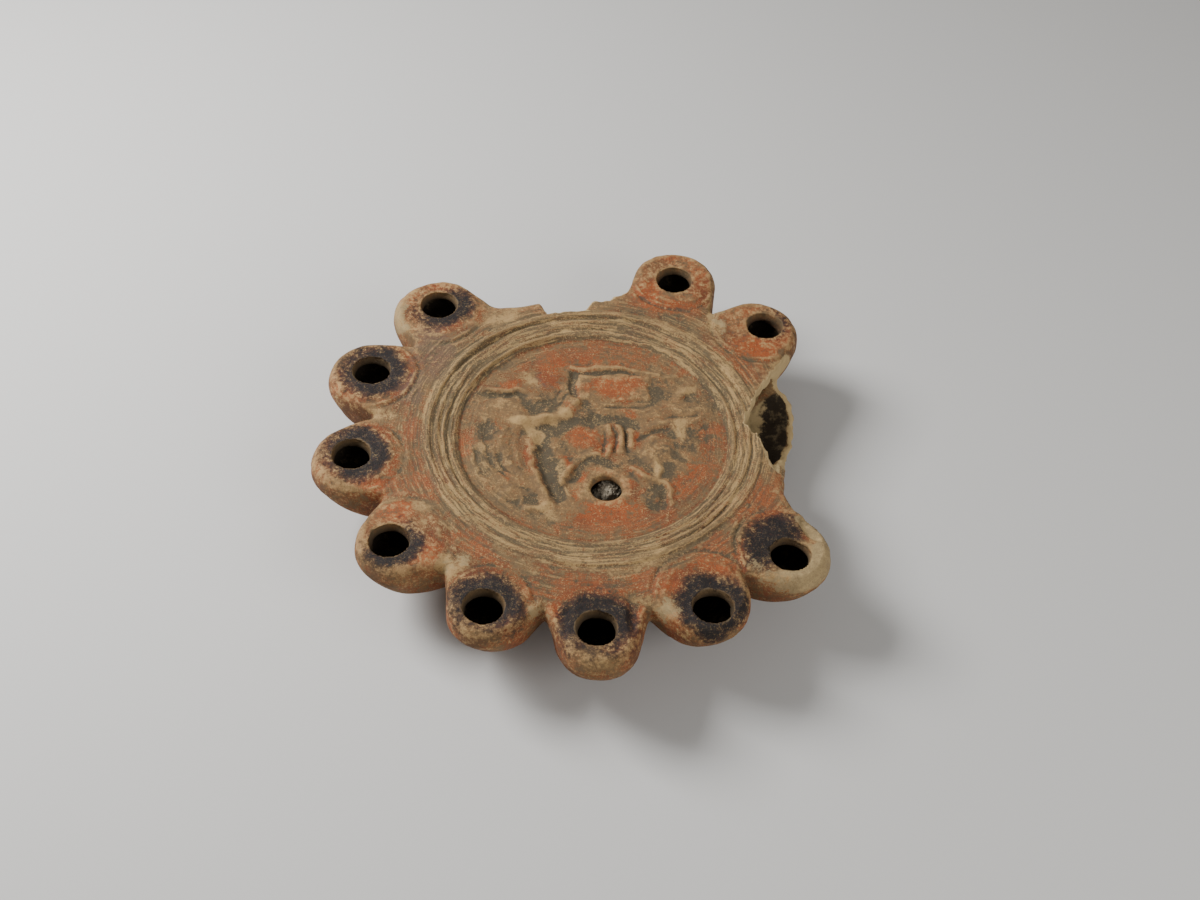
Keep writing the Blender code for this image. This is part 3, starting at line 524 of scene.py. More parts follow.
# Unevenness of a hand-pressed piece, pits, and the rough grain of the breaks
write_points(skin_mesh, points)
normals = read_points(skin_mesh, "normal")
outer = smooth_step(0.0004, 0.003, points[:, 2])
rings_and_disc = (radius < 0.0625) * (normals[:, 2] > 0.3) * (points[:, 2] > 0.026)
calm = outer * (1.0 - 0.85 * rings_and_disc)
push = 0.00034 * grain(points, 0.015, 11) + 0.00022 * grain(points, 0.006, 12)
push += 0.0001 * grain(points, 0.0024, 13)
push += 0.0001 * turned(0.0009, 3.0, 19) * smooth_step(0.5, 0.9, normals[:, 2]) * (radius < 0.075)
pits = grain(points, 0.0026, 14)
push -= 0.00035 * smooth_step(0.62, 0.95, pits)
push = push * calm
chipped = 0.00036 * grain(points, 0.003, 15) + 0.00018 * grain(points, 0.0013, 16)
push += smooth_step(0.1, 0.6, broken) * chipped * (0.12 + 0.88 * smooth_step(0.025, 0.0285, points[:, 2]))
points += push[:, None] * normals
write_points(skin_mesh, points)

# Fewer triangles: the hidden inside gives most of them, and then the rest gives what it must
SKIN_TRIANGLES = 192000
INSIDE_SHARE = 0.13
outwards = facing_out(points, normals)
ceiling = (normals[:, 2] < -0.3) & (outwards < 0.5) & (points[:, 2] > PLATE_FROM)
reservoir = (outwards < 0.1) & (points[:, 2] > 0.0035) & (points[:, 2] < UNDER_PLATE)
hidden = (ceiling | reservoir | (points[:, 2] < 0.0008)) & (broken < 0.05)
hidden &= (from_holes > 0.0095) | (points[:, 2] < 0.0245)
every = np.arange(len(points))
before = 2.0 * len(skin_mesh.polygons)
after_inside = before - (1.0 - INSIDE_SHARE) * before * hidden.mean()
for name, chosen, ratio in (
    ("thin_inside", hidden, after_inside / before),
    ("thin_outside", ~hidden, SKIN_TRIANGLES / after_inside),
):
    group = lamp.vertex_groups.new(name=name)
    group.add(every[chosen].tolist(), 1.0, "REPLACE")
    thin = lamp.modifiers.new(name, "DECIMATE")
    thin.ratio = ratio
    thin.vertex_group = name
    thin.vertex_group_factor = 0.0
thin_mesh = applied(lamp)
lamp.vertex_groups.clear()
thin_mesh.name = "lamp_skin"

# Where each finish lies. Patches are middle, half sizes, turn and strength, in millimetres: slip
# that is still red on the shoulder and spouts, then on the disc.
SLIP_OUTSIDE = (
    ((-37, -57.5), (7, 5), -20, 1), ((-58, -28), (10, 10), 0, 0.75), ((-62, -9), (6, 11), 10, 0.7),
    ((-65, -43.5), (6, 4.5), 0, 0.85), ((-53.5, -61), (6, 5.5), 30, 0.8),
    ((-73, -31.5), (10, 5), -15, 0.8), ((-12, -67), (8, 6), -25, 0.9), ((5, -66.5), (16, 4), 0, 0.9),
    ((23, -65), (8, 6), 25, 0.9), ((17, -86), (4, 13), -5, 0.9), ((-8, -86), (4, 13), 8, 0.85),
    ((44, -53), (9, 7), 35, 0.95), ((57, -30), (10, 11), 40, 1), ((66, -20), (5, 8), 0, 0.95),
    ((56.5, -75), (4, 11), -8, 0.85), ((30, -82), (3.5, 8), 0, 0.8), ((18, 72), (7, 10), -15, 0.75),
    ((29, 96), (11, 6), 0, 0.7), ((27, 64), (12, 5), 0, 0.6), ((38, 83), (4, 12), 0, 0.5),
    ((61, 46), (11, 8), 30, 0.85), ((72, 58), (5, 11), 0, 0.7), ((55, 35), (7, 9), 35, 0.75),
    ((-66, 71), (9, 4), 0, 0.8), ((-75, 60), (3.5, 9), 0, 0.55), ((-34, -70), (4, 2), 0, 0.5),
    ((-21, -86), (4, 12), 10, 0.85), ((-46, -86), (4.5, 11), 0, 0.85), ((-92, 12), (8, 7), 0, 0.55),
    ((-94, -18), (5, 10), 0, 0.65), ((-80, -10), (8, 4), 0, 0.55), ((63, -62), (9, 3), 20, 0.35),
    ((-45, -50), (6, 4), 40, 0.65), ((46, 43), (4, 7), 40, 0.65), ((-28, 58), (10, 3), 10, 0.45),
    ((58, 62), (6, 5), 0, 0.55), ((-66, -56), (5, 3.5), 30, 0.85),
)
SLIP_DISC = (
    ((0, 40), (20, 8.5), 0, 0.85), ((-18, 37), (8, 9), 0, 0.85), ((-20, 45), (7, 4), 20, 0.8),
    ((30, 37), (8, 5), -25, 0.85), ((16, 42), (10, 5), -10, 0.8), ((-17, 27), (6.5, 6.5), 0, 0.75),
    ((-32, 23), (6.5, 2.8), 12, 0.9), ((-30, 33), (5, 5), 0, 0.6), ((7, 24.6), (12.5, 6.3), 0, 1.05),
    ((14, 12), (4.5, 3), 0, 0.75), ((-8.5, 15), (2.4, 4), 20, 0.8), ((-45, -9), (3.6, 9.5), 0, 1),
    ((-35, -3), (2, 5), 0, 0.6), ((-28, -21), (3.2, 4), 0, 0.75), ((-2.5, -0.5), (6.5, 6.5), 0, 0.95),
    ((6, -3), (3.2, 7), 0, 0.95), ((13, -0.5), (2.2, 5), 0, 0.9), ((-21.5, -10), (2, 10), 8, 0.75),
    ((-9.5, -15.5), (2.6, 6), 0, 0.85), ((-3.2, -25), (2.6, 6), 0, 0.95),
    ((13.5, -22), (3.2, 5), 0, 0.8), ((6, -16.5), (5, 2), 0, 0.7), ((8, -33), (10, 4.5), 0, 1.05),
    ((13, -40), (17, 7), 0, 0.95), ((-5, -43), (9, 4.5), -8, 0.85), ((44, 3), (5, 9), 0, 0.95),
    ((41, -13), (6.5, 9), -15, 0.9), ((35, -21), (8, 6), 25, 0.95), ((28, -35), (6, 7), 30, 0.85),
    ((20, -26), (2.2, 2.2), 0, 0.8), ((37, 22), (4, 3), 20, 0.6), ((-18, -43), (10, 2.2), -22, 0.65),
    ((17, -15), (5, 1.6), -40, 0.7), ((-16, -36), (3, 3), 0, 0.2),
)
# Grey-green soil in the hollows of the disc, and mauve-grey bloom on the left shoulder
SOIL = (
    ((-15, -14), (3.2, 15), 20, 1), ((-14, 1.5), (9, 3), 22, 0.9), ((0, 8.5), (10, 2.6), 0, 0.7),
    ((-38.5, -3), (3.6, 6), 0, 0.9), ((-36, -15), (7, 6), 0, 0.6), ((-36, 16.8), (10, 1.8), 4, 0.9),
    ((-22, 14), (3.6, 3), 40, 0.7), ((-11, -5.5), (2.4, 3), 0, 0.8), ((3, -12.5), (10, 2.2), 8, 0.8),
    ((23, -27), (4.6, 5.5), 20, 0.8), ((34, -1), (7.5, 6), 0, 0.75), ((24, -6), (6, 6), 0, 0.45),
    ((-7.4, 26), (1.6, 6), 0, 0.8), ((-12.5, -37), (3, 3.6), 0, 0.5), ((-50, 18), (6, 14), 15, 0.55),
    ((45, 22), (4, 10), 30, 0.6), ((-46, 33), (7, 12), -45, 0.65), ((-56, 4), (3, 16), 0, 0.5),
    ((56, 8), (4, 14), 0, 0.6), ((-40, -40), (8, 6), -45, 0.35), ((34, 14), (10, 2.5), 8, 0.5),
    ((-41, 50), (8, 3), 30, 0.4), ((-14, -66), (8, 4), -20, 0.55), ((10, -66.5), (8, 3.5), 0, 0.55),
    ((26, 90), (8, 3), 0, 0.5),
)
MAUVE = (
    ((-60, 33), (9, 14), 20, 0.9), ((-19, 25), (6.5, 6), 0, 0.55), ((-67, 16), (6, 10), 0, 0.7),
    ((-62, 47), (9, 5), 15, 0.7), ((52, 52), (5, 6), 0, 0.3),
)
# Soot round each hole: hole number, strength all round, extra towards a direction, the direction,
# and how far it spreads
SOOT = (
    (2, 0.55, 0.45, -35, 14), (3, 0.8, 0.25, -20, 14), (4, 0.75, 0.3, 20, 13.5),
    (5, 0.55, 0.5, -50, 12), (6, 0.7, 0.3, 70, 13.5), (7, 0.75, 0.4, 90, 15),
    (8, 0.85, 0.15, 180, 13.5), (9, 0.25, 0.8, 140, 17), (0, 0.22, 0.25, 10, 12),
    (1, 0.1, 0.25, -10, 10),
)
# Khaki crust that hides slip and soot, mostly on the last spout
KHAKI = (
    ((75, -58), (11, 9), 20, 1), ((66, -64), (9, 5), 0, 0.9), ((83, -50), (6, 10), 0, 1),
    ((60, -60), (4, 5), 0, 0.6), ((-76, 52), (3.5, 12), 0, 0.75), ((-66, 78), (9, 2), 20, 0.6),
    ((46, 64), (3, 13), -8, 0.65), ((70, 27), (4, 9), 20, 0.8), ((-47, -73), (4, 6), 30, 0.6),
    ((-43, -64), (4, 5), 30, 0.55), ((28, -77), (3.5, 6), 0, 0.6), ((-14, -79), (3.5, 6), 0, 0.55),
    ((57, -56), (3, 6), 20, 0.5), ((-33, -97), (8, 3), 0, 0.4),
)
# Pale silt on the reservoir's floor, seen through the right break: middle, half sizes and turn
SILT = ((58.0, 26.0), (9.0, 11.0), 0.0)
# Cream clay showing through where the shoulder and the rings are rubbed
CREAM = (
    ((0, -61), (26, 3.4), 0, 0.45), ((27, -54), (16, 3.6), 32, 0.45), ((-27, -54.5), (16, 3.6), -30, 0.4),
    ((-45, -65), (5, 7), 30, 0.9), ((-58, -40), (4.5, 4), 0, 0.5), ((-52, -48), (5, 4), -40, 0.6),
    ((-78, 1.5), (8, 3.5), 10, 0.8), ((74, -53), (9, 10), 0, 0.75), ((64, -60), (11, 5), 10, 0.8),
    ((44, 66), (3, 14), -8, 0.85), ((-38, 56), (13, 4), 25, 0.75), ((-77, 53), (4, 12), 0, 0.7),
    ((-24, 5.5), (9, 2.6), 12, 1.2), ((-11, 10.5), (4, 2.4), 45, 1.2), ((-22, -1), (2.4, 6), 20, 1.1),
    ((-15.5, -34), (4.5, 3), 20, 1.1), ((-12, -37), (3.5, 3), 0, 0.7),
    ((32.5, 5.5), (3.5, 5.5), -10, 0.9), ((35, 26), (5, 2.4), 20, 0.7), ((9, 23), (1.6, 2.6), 10, 0.9),
    ((2, 25.5), (1.4, 3), 0, 0.6), ((-25, 25.5), (6.5, 2.6), -28, 0.8), ((23.5, -14), (2, 5), 0, 0.8),
    ((20, -72), (4, 3), 0, 0.6), ((30, 51), (14, 3), -30, 0.6), ((48, 33), (3, 10), 35, 0.7),
    ((-5, 53), (18, 3), 0, 0.55), ((6.5, -98), (9, 5), 0, 0.5), ((-33, -92), (8, 4), 0, 0.5),
    ((44, -88), (8, 4), 0, 0.4), ((70, 32), (4, 10), 15, 0.9), ((-70, -64), (9, 4), 10, 0.45),
    ((-78, -35), (10, 3), -20, 0.4), ((26, -77), (3.5, 4), 0, 0.7), ((-13, -78), (3, 4), 0, 0.6),
    ((56, -62), (3, 6), 20, 0.7),
)

points = read_points(thin_mesh)
normals = read_points(thin_mesh, "normal")
edges = edge_list(thin_mesh)
plan = points[:, :2] * 1000.0
radius = np.hypot(points[:, 0], points[:, 1])
bearing = np.degrees(np.arctan2(points[:, 1], points[:, 0]))
outwards = facing_out(points, normals)
at_plate = points[:, 2] > UNDER_PLATE
on_top = smooth_step(0.15, 0.55, normals[:, 2]) * at_plate


def patched(patches):
    """Strongest of a list of soft patches at each vertex, with wandering edges."""
    mask = np.zeros(len(plan))
    for middle, half, turn, strength in patches:
        away = oval(wandered, middle, half, turn)
        mask = np.maximum(mask, strength * (1.0 - smooth_step(0.45, 1.45, away)))
    return mask


wander = [3.4 * grain(points, 0.009, seed) + 1.7 * grain(points, 0.0034, seed + 1) for seed in (21, 23)]
wandered = plan + np.stack(wander, axis=1)

# How far each vertex stands above or below the surface round it
local = neighbour_mean(points[:, 2], edges, 50)
level = (points[:, 2] - local) / 0.0003
bend = np.einsum("ij,ij->i", points - neighbour_mean(points, edges), normals)
for _ in range(2):
    bend = 0.5 * bend + 0.5 * neighbour_mean(bend, edges)
disc = 1.0 - smooth_step(0.047, 0.0485, radius)
flank = smooth_step(0.0, 0.3, outwards) * (1.0 - smooth_step(0.35, 0.6, normals[:, 2]))
flank = flank * (points[:, 2] < 0.0325)
soot = np.zeros(len(points))
hole_rim = np.zeros(len(points))
hole_wall = np.zeros(len(points))
pad = np.zeros(len(points))
for number, strength, extra, towards, spread in SOOT:
    hole = spout_axes(SPOUTS[number][0])[0] * HOLE_RING_RADIUS * 1000.0
    away = wandered * 0.5 + plan * 0.5 - hole
    distance = np.hypot(away[:, 0], away[:, 1])
    facing = np.cos(np.arctan2(away[:, 1], away[:, 0]) - math.radians(towards))
    amount = (strength + extra * facing) * (1.0 - smooth_step(spread * 0.55, spread * 1.25, distance))
    soot = np.maximum(soot, amount)
    pad = np.maximum(pad, 1.0 - smooth_step(15.0, 20.0, distance))
    away = plan - hole
    distance = np.hypot(away[:, 0], away[:, 1])
    hole_rim = np.maximum(hole_rim, (1.0 - smooth_step(6.7, 7.9, distance)) * at_plate)
    hole_wall = np.maximum(hole_wall, (distance < 7.6) * at_plate * (normals[:, 2] < 0.7))
# Painted shade down the wick holes: darker towards the bottom of each bore
shaft_shade = hole_wall * smooth_step(0.0331, 0.0302, points[:, 2])
soot_edge = 0.0265 + 0.003 * grain(points, 0.007, 43)
soot = soot * smooth_step(0.0, 0.0055, points[:, 2] - soot_edge) * (radius > 0.062)
from_fill = np.hypot(points[:, 0] - FILL_HOLE[0], points[:, 1] - FILL_HOLE[1])
fill_wall = (from_fill < 0.0068) * (points[:, 2] > PLATE_FROM) * (normals[:, 2] < 0.6)
overhung = (1.0 - smooth_step(-8.0, -5.0, bearing)) * (radius > 0.068) * (bearing > -20.0)
broken = np.clip(2.2 * broken_faces(thin_mesh, 0.72), 0.0, 1.0) * (1.0 - 0.6 * overhung)
# The reservoir's inside, painted dark as shade, is where most looks from the wall meet more wall
looker = BVHTree.FromPolygons(points.tolist(), [tuple(face.vertices) for face in thin_mesh.polygons])
inside = np.zeros(len(points))
for number in np.flatnonzero((points[:, 2] < 0.0305) & (points[:, 2] > 0.003)):
    out = Vector(normals[number])
    across = out.orthogonal()
    over = out.cross(across)
    start = Vector(points[number]) + out * 0.0003
    looks = (out, out + across, out - across, out + over, out - over)
    met = sum(looker.ray_cast(start, look)[0] is not None for look in looks)
    inside[number] = met >= 4
# Looks also leave through the two breaks, so there the inner side goes by its place
near_break = ((bearing > -15.0) & (bearing < 27.0)) | ((bearing > 84.0) & (bearing < 110.0))
near_break &= (points[:, 2] < 0.03) & (points[:, 2] > 0.0035) & (outwards < 0.25) & (on_top < 0.5)
inside = np.maximum(inside, near_break)
inside = inside * (hole_wall < 0.5) * ~fill_wall * (broken < 0.4)
inside = neighbour_mean(inside, edges, 2)
ring_zone = band(radius, (0.0475, 0.049, 0.0605, 0.063))
shoulder = smooth_step(0.0605, 0.063, radius) * (1.0 - pad)
cut = carved(plan)[1]

slip = disc * patched(SLIP_DISC) + (1.0 - disc) * patched(SLIP_OUTSIDE) * (1.0 - 0.65 * ring_zone)
soil = patched(SOIL)
cream = patched(CREAM)
crust = 0.76 * disc + 0.58 * ring_zone + 0.64 * shoulder + 0.44 * pad * (1.0 - ring_zone)
crust = crust - 0.5 * slip + 0.35 * cream + 0.25 * soil + 0.15 * np.clip(-level, 0.0, 1.0)
crust = np.where(flank > 0.4, 0.5 - 0.3 * slip, crust)
# Soil patches plus painted shade: grey where the surface lies below the surface round it and along the cut
# lines, less at the disc's border
border = band(radius, (0.0425, 0.045, 0.0478, 0.0492))
deep = soil * 0.75 + np.clip(-level - 0.15, 0.0, 1.0) * (0.75 - 0.55 * border)
deep += disc * np.clip(-cut, 0.0, 1.0) * 0.35
crest = np.clip(bend * 9000.0 - 0.2, 0.0, 0.5) + np.clip(level - 0.45, 0.0, 1.0) * 0.42
streak = ring_zone + 0.75 * shoulder + 0.5 * disc * smooth_step(0.036, 0.043, radius)
streak += 0.2 * disc + 0.1 * pad
chip_edge = oval(wandered * 0.4 + plan * 0.6, *CHIP)
khaki = np.maximum(patched(KHAKI), 1.0 - smooth_step(0.75, 1.05, chip_edge))
khaki = khaki * smooth_step(-0.2, 0.3, normals[:, 2]) * smooth_step(0.02, 0.03, points[:, 2])
silt = 1.0 - smooth_step(0.6, 1.3, oval(wandered, *SILT))
masks = {
    "slip": slip * on_top + 0.3 * flank,
    "crust": crust,
    "soot": soot,
    "deep": deep * on_top,
    "crest": crest * np.maximum(on_top, 0.5 * flank),
    "cream": cream * on_top,
    "streak": streak * on_top,
    "mauve": patched(MAUVE) * on_top,
    "rim": np.maximum(hole_rim, np.maximum(hole_wall, fill_wall)),
    "broken": broken,
    "khaki": khaki,
    "shaft_shade": shaft_shade,
    "silt": silt * (points[:, 2] < PLATE_FROM),
    "inside": inside,
    "flank": flank * (broken < 0.3),
}
for name, mask in masks.items():
    layer = thin_mesh.attributes.new(name, "FLOAT", "POINT")
    layer.data.foreach_set("value", np.clip(mask, 0.0, 1.0).astype(np.float32))


class Tone:
    """A number or colour in a material's nodes. Sums on numbers add their Math nodes."""

    def __init__(self, tree, socket=None):
        self.tree = tree
        self.socket = socket

    def node(self, kind, settings, values, output=0):
        """Add a node: its settings first, then the values or links of its sockets."""
        made = self.tree.nodes.new(kind)
        for name, setting in settings.items():
            setattr(made, name, setting)
        for name, value in values.items():
            if isinstance(value, Tone):
                self.tree.links.new(value.socket, made.inputs[name])
            else:
                made.inputs[name].default_value = value
        return Tone(self.tree, made.outputs[output])

    def sum(self, operation, first, second):
        return self.node("ShaderNodeMath", {"operation": operation}, {0: first, 1: second})

    def __add__(self, other):
        return self.sum("ADD", self, other)

    def __radd__(self, other):
        return self.sum("ADD", other, self)

    def __sub__(self, other):
        return self.sum("SUBTRACT", self, other)

    def __rsub__(self, other):
        return self.sum("SUBTRACT", other, self)

    def __mul__(self, other):
        return self.sum("MULTIPLY", self, other)

    def __rmul__(self, other):
        return self.sum("MULTIPLY", other, self)

    def step(self, low, high):
        """0 below low, 1 above high, with a soft change between."""
        settings = {"interpolation_type": "SMOOTHSTEP", "clamp": True}
        return self.node("ShaderNodeMapRange", settings, {"Value": self, "From Min": low, "From Max": high})

    def mask(self, name):
        """A mask kept on the mesh."""
        return self.node("ShaderNodeAttribute", {"attribute_name": name}, {}, "Fac")

    def lumps(self, place, size, detail=3.0, roughness=0.6):
        """Soft random lumps about size metres wide, spread evenly from 0 to 1."""
        values = {"Vector": place, "Scale": 1.0 / size, "Detail": detail, "Roughness": roughness}
        noise = self.node("ShaderNodeTexNoise", {"noise_dimensions": "3D"}, values)
        return self.node("ShaderNodeMapRange", {}, {"Value": noise, "From Min": 0.34, "From Max": 0.66})

    def mixed(self, amount, first, second):
        """The first colour, changed into the second by an amount."""
        return self.node("ShaderNodeMix", {"data_type": "RGBA"}, {0: amount, 6: first, 7: second}, 2)

    def over(self, colour, amount):
        """This colour with another laid over it by an amount."""
        return self.mixed(amount, self, colour)

    def surface(self, colour, roughness, shine, height, strength, depth):
        """Finish the material: a matt surface, with bumps as deep as depth where height is 1."""
        bump = self.node("ShaderNodeBump", {}, {"Strength": strength, "Distance": depth, "Height": height})
        values = {"Base Color": colour, "Roughness": roughness, "Normal": bump, "Specular IOR Level": shine}
        shader = self.node("ShaderNodeBsdfPrincipled", {}, values)
        output = self.tree.nodes.new("ShaderNodeOutputMaterial")
        self.tree.links.new(shader.socket, output.inputs["Surface"])


def new_material(name):
    """A material without nodes, and the Tone that adds them."""
    made = bpy.data.materials.new(name)
    made.use_nodes = True
    made.node_tree.nodes.clear()
    return made, Tone(made.node_tree)


# Clay, slip, crust and soot, as colours seen in even light, and the greys and browns of soil and of painted
# shade
SLIP_ORANGE = (0.355, 0.084, 0.021, 1.0)
SLIP_RED = (0.205, 0.054, 0.018, 1.0)
SLIP_BROWN = (0.11, 0.036, 0.016, 1.0)
TAN = (0.29, 0.168, 0.068, 1.0)
TAN_GREY = (0.135, 0.098, 0.052, 1.0)
SOIL_AND_SHADE_GREY = (0.062, 0.055, 0.036, 1.0)
MAUVE_GREY = (0.135, 0.075, 0.055, 1.0)
SOOT_BLACK = (0.01, 0.009, 0.01, 1.0)
SOOT_BROWN = (0.042, 0.022, 0.016, 1.0)
CREAM_CLAY = (0.5, 0.33, 0.14, 1.0)
PALE_CLAY = (0.6, 0.44, 0.215, 1.0)
FLANK_BROWN = (0.12, 0.062, 0.028, 1.0)
INNER_SHADE_BROWN = (0.032, 0.021, 0.011, 1.0)
KHAKI_CRUST = (0.5, 0.36, 0.175, 1.0)

clay, tone = new_material("fired_clay_worn")
place = tone.node("ShaderNodeTexCoord", {}, {}, "Object")
broad = tone.lumps(place, 0.012, 5.0, 0.62)
patchy = tone.lumps(place, 0.0042, 6.0, 0.7)
fine = tone.lumps(place, 0.0013, 5.0, 0.7)
grit = tone.lumps(place, 0.0005, 4.0, 0.65)
ragged = broad * 0.28 + patchy * 0.42 + fine * 0.3
ragged = tone.node("ShaderNodeMapRange", {}, {"Value": ragged, "From Min": 0.22, "From Max": 0.78})
laid = {name: tone.mask(name) for name in masks}

# Lines that run round the lamp, from turning and wiping
plan_place = tone.node("ShaderNodeVectorMath", {"operation": "MULTIPLY"}, {0: place, 1: (1.0, 1.0, 0.0)})
plan_radius = tone.node("ShaderNodeVectorMath", {"operation": "LENGTH"}, {0: plan_place}, "Value")
plan_way = tone.node("ShaderNodeVectorMath", {"operation": "NORMALIZE"}, {0: plan_place})
way_x = tone.node("ShaderNodeSeparateXYZ", {}, {0: plan_way}, "X")
way_y = tone.node("ShaderNodeSeparateXYZ", {}, {0: plan_way}, "Y")
line_place = tone.node(
    "ShaderNodeCombineXYZ", {},
    {"X": plan_radius * 1250.0 + broad * 1.2, "Y": way_x * 3.2, "Z": way_y * 3.2},
)
lines = tone.lumps(line_place, 1.0, 4.0, 0.65)

slip_colour = tone.mixed(patchy * 0.5 + laid["slip"] * 0.7, SLIP_RED, SLIP_ORANGE)
slip_colour = slip_colour.over(SLIP_BROWN, broad.step(0.45, 0.95) * (1.0 - laid["slip"] * 0.6) * 0.75)
slip_colour = slip_colour.over(SLIP_BROWN, patchy.step(0.5, 0.95) * 0.45)
slip_colour = slip_colour.over(SLIP_BROWN, fine.step(0.5, 0.95) * 0.4)
crust_colour = tone.mixed(patchy * 0.6 + fine * 0.4, TAN_GREY, TAN)
crust_colour = crust_colour.over(SLIP_RED, broad.step(0.45, 1.0) * fine.step(0.3, 0.8) * 0.45)
crust_colour = crust_colour.over(SLIP_BROWN, grit.step(0.7, 1.0) * 0.25)
crusted = (laid["crust"] - ragged * 0.95 + (grit - 0.5) * 0.45).step(-0.2, 0.24)
colour = slip_colour.over(crust_colour, crusted * 0.92)
colour = colour.over(FLANK_BROWN, laid["flank"] * broad.step(0.3, 0.75) * 0.55)
colour = colour.over(MAUVE_GREY, (laid["mauve"] - ragged * 0.8).step(-0.2, 0.4) * 0.75)
# Soil and painted shade in the hollows, in grey
soil_and_shade = (laid["deep"] + (0.5 - ragged) * 0.55 + (0.5 - fine) * 0.2).step(0.18, 0.85)
colour = colour.over(SOIL_AND_SHADE_GREY, soil_and_shade * 0.85)
dark_lines = (laid["streak"] - lines * 1.6 + (fine - 0.5) * 0.4).step(0.1, 0.7)
colour = colour.over(SOIL_AND_SHADE_GREY, dark_lines * 0.65)
colour = colour.over(TAN_GREY, laid["streak"] * laid["streak"] * (1.0 - lines).step(0.05, 0.75) * 0.78)
rubbed = (laid["cream"] - ragged * 1.05).step(-0.15, 0.35)
colour = colour.over(tone.mixed(0.15 + patchy * 0.5 + fine * 0.5, TAN, CREAM_CLAY), rubbed * 0.88)
pale_lines = (laid["streak"] * 0.62 + lines * 0.62 - patchy * 0.3 + (grit - 0.5) * 0.25).step(0.72, 0.98)
colour = colour.over(CREAM_CLAY, pale_lines * laid["streak"] * 0.68)
worn = (laid["crest"] + (fine - 0.5) * 0.65 + (patchy - 0.5) * 0.55).step(0.22, 0.85)
colour = colour.over(tone.mixed(patchy, TAN, CREAM_CLAY), worn * (0.75 - 0.3 * laid["streak"]))
smoked = laid["soot"] + (0.5 - ragged) * 0.3 + (0.5 - fine) * 0.16
colour = colour.over(SOOT_BROWN, smoked.step(0.1, 0.48) * 0.8)
colour = colour.over(SOOT_BLACK, smoked.step(0.34, 0.72) * 0.9)
dusty = (grit * 0.6 + fine * 0.4).step(0.57, 0.78) * patchy.step(0.15, 0.7)
dusty = dusty * (1.0 - smoked.step(0.3, 0.6) * 0.55)
colour = colour.over(CREAM_CLAY, dusty * 0.6)
specks = tone.lumps(place, 0.00075, 3.0, 0.6).step(0.8, 1.0)
colour = colour.over(SLIP_BROWN, specks * 0.45)
khaki = (laid["khaki"] - ragged * 0.75 + (grit - 0.5) * 0.25).step(0.02, 0.3)
khaki_colour = tone.mixed(0.25 + patchy * 0.5 + fine * 0.4, TAN_GREY, KHAKI_CRUST)
khaki_colour = khaki_colour.over(SLIP_BROWN, grit.step(0.55, 1.0) * 0.35)
colour = colour.over(khaki_colour, khaki * 0.92)
rimmed = (laid["rim"] - ragged * 1.05 + (fine - 0.5) * 0.4).step(0.02, 0.45)
colour = colour.over(tone.mixed(patchy, TAN_GREY, TAN), rimmed * 0.8)
# Painted shade down the wick holes
colour = colour.over(INNER_SHADE_BROWN, laid["shaft_shade"] * 0.8)
fresh = (laid["broken"] + (fine - 0.5) * 0.5 + (patchy - 0.5) * 0.4).step(0.3, 0.7)
# Painted shade inside the reservoir: dark brown with paler patches, with pale silt laid over
hollow = tone.mixed(patchy.step(0.55, 1.0), INNER_SHADE_BROWN, TAN_GREY)
silted = (laid["silt"] - ragged * 0.9 + (fine - 0.5) * 0.5).step(0.0, 0.4)
hollow = hollow.over(KHAKI_CRUST, silted * 0.9)
colour = colour.over(hollow, laid["inside"].step(0.3, 0.7))
colour = colour.over(tone.mixed(patchy * 0.45, PALE_CLAY, TAN), fresh * 0.95)

height = fine * 0.45 + grit * 0.3 + patchy * 0.5 + crusted * 0.35 + lines * laid["streak"] * 0.55
roughness = 0.72 + crusted * 0.16 - smoked.step(0.34, 0.72) * 0.14 + (fine - 0.5) * 0.12
tone.surface(colour, roughness, 0.3, height, 0.85, 0.00036)
thin_mesh.materials.clear()
thin_mesh.materials.append(clay)
thin_mesh.shade_smooth()
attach(lamp, "root")
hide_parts("lamp_body")


# Soil in the filling hole. A grey crumbly lump of burial soil is all that is left inside. It dried
# on the underside of the disc, towards the far side of the hole, where it now hangs a hair clear.
SOIL_PLACE = (0.0064, -0.0196, 0.0212)
SOIL_SIZE = (0.005, 0.005, 0.0034)
CRUMBS = 110
CRUMB_RADIUS = 0.0005
SOIL_AREA = 0.00016
SOIL_DARK = (0.15, 0.125, 0.09, 1.0)
SOIL_PALE = (0.48, 0.42, 0.32, 1.0)

lump = bmesh.new()
bmesh.ops.create_icosphere(lump, subdivisions=4, radius=1.0)
lump_mesh = bpy.data.meshes.new("soil_lump")
lump.to_mesh(lump_mesh)
lump.free()
lump_points = read_points(lump_mesh)
rough = 1.0 + 0.16 * grain(lump_points, 0.55, 51) + 0.1 * grain(lump_points, 0.22, 52)
write_points(lump_mesh, lump_points * rough[:, None] * SOIL_SIZE + SOIL_PLACE)
soil_lump = new_object("soil_lump", lump_mesh)

burial_soil, earth = new_material("burial_soil")
earth_place = earth.node("ShaderNodeTexCoord", {}, {}, "Object")
clods = earth.lumps(earth_place, 0.0016, 4.0, 0.6)
dust = earth.lumps(earth_place, 0.0004, 3.0, 0.6)
earth_height = clods * 0.6 + dust * 0.4
earth_colour = earth.mixed(earth_height, SOIL_DARK, SOIL_PALE)
earth.surface(earth_colour, 0.95, 0.2, earth_height, 0.8, 0.0003)
lump_mesh.materials.append(burial_soil)

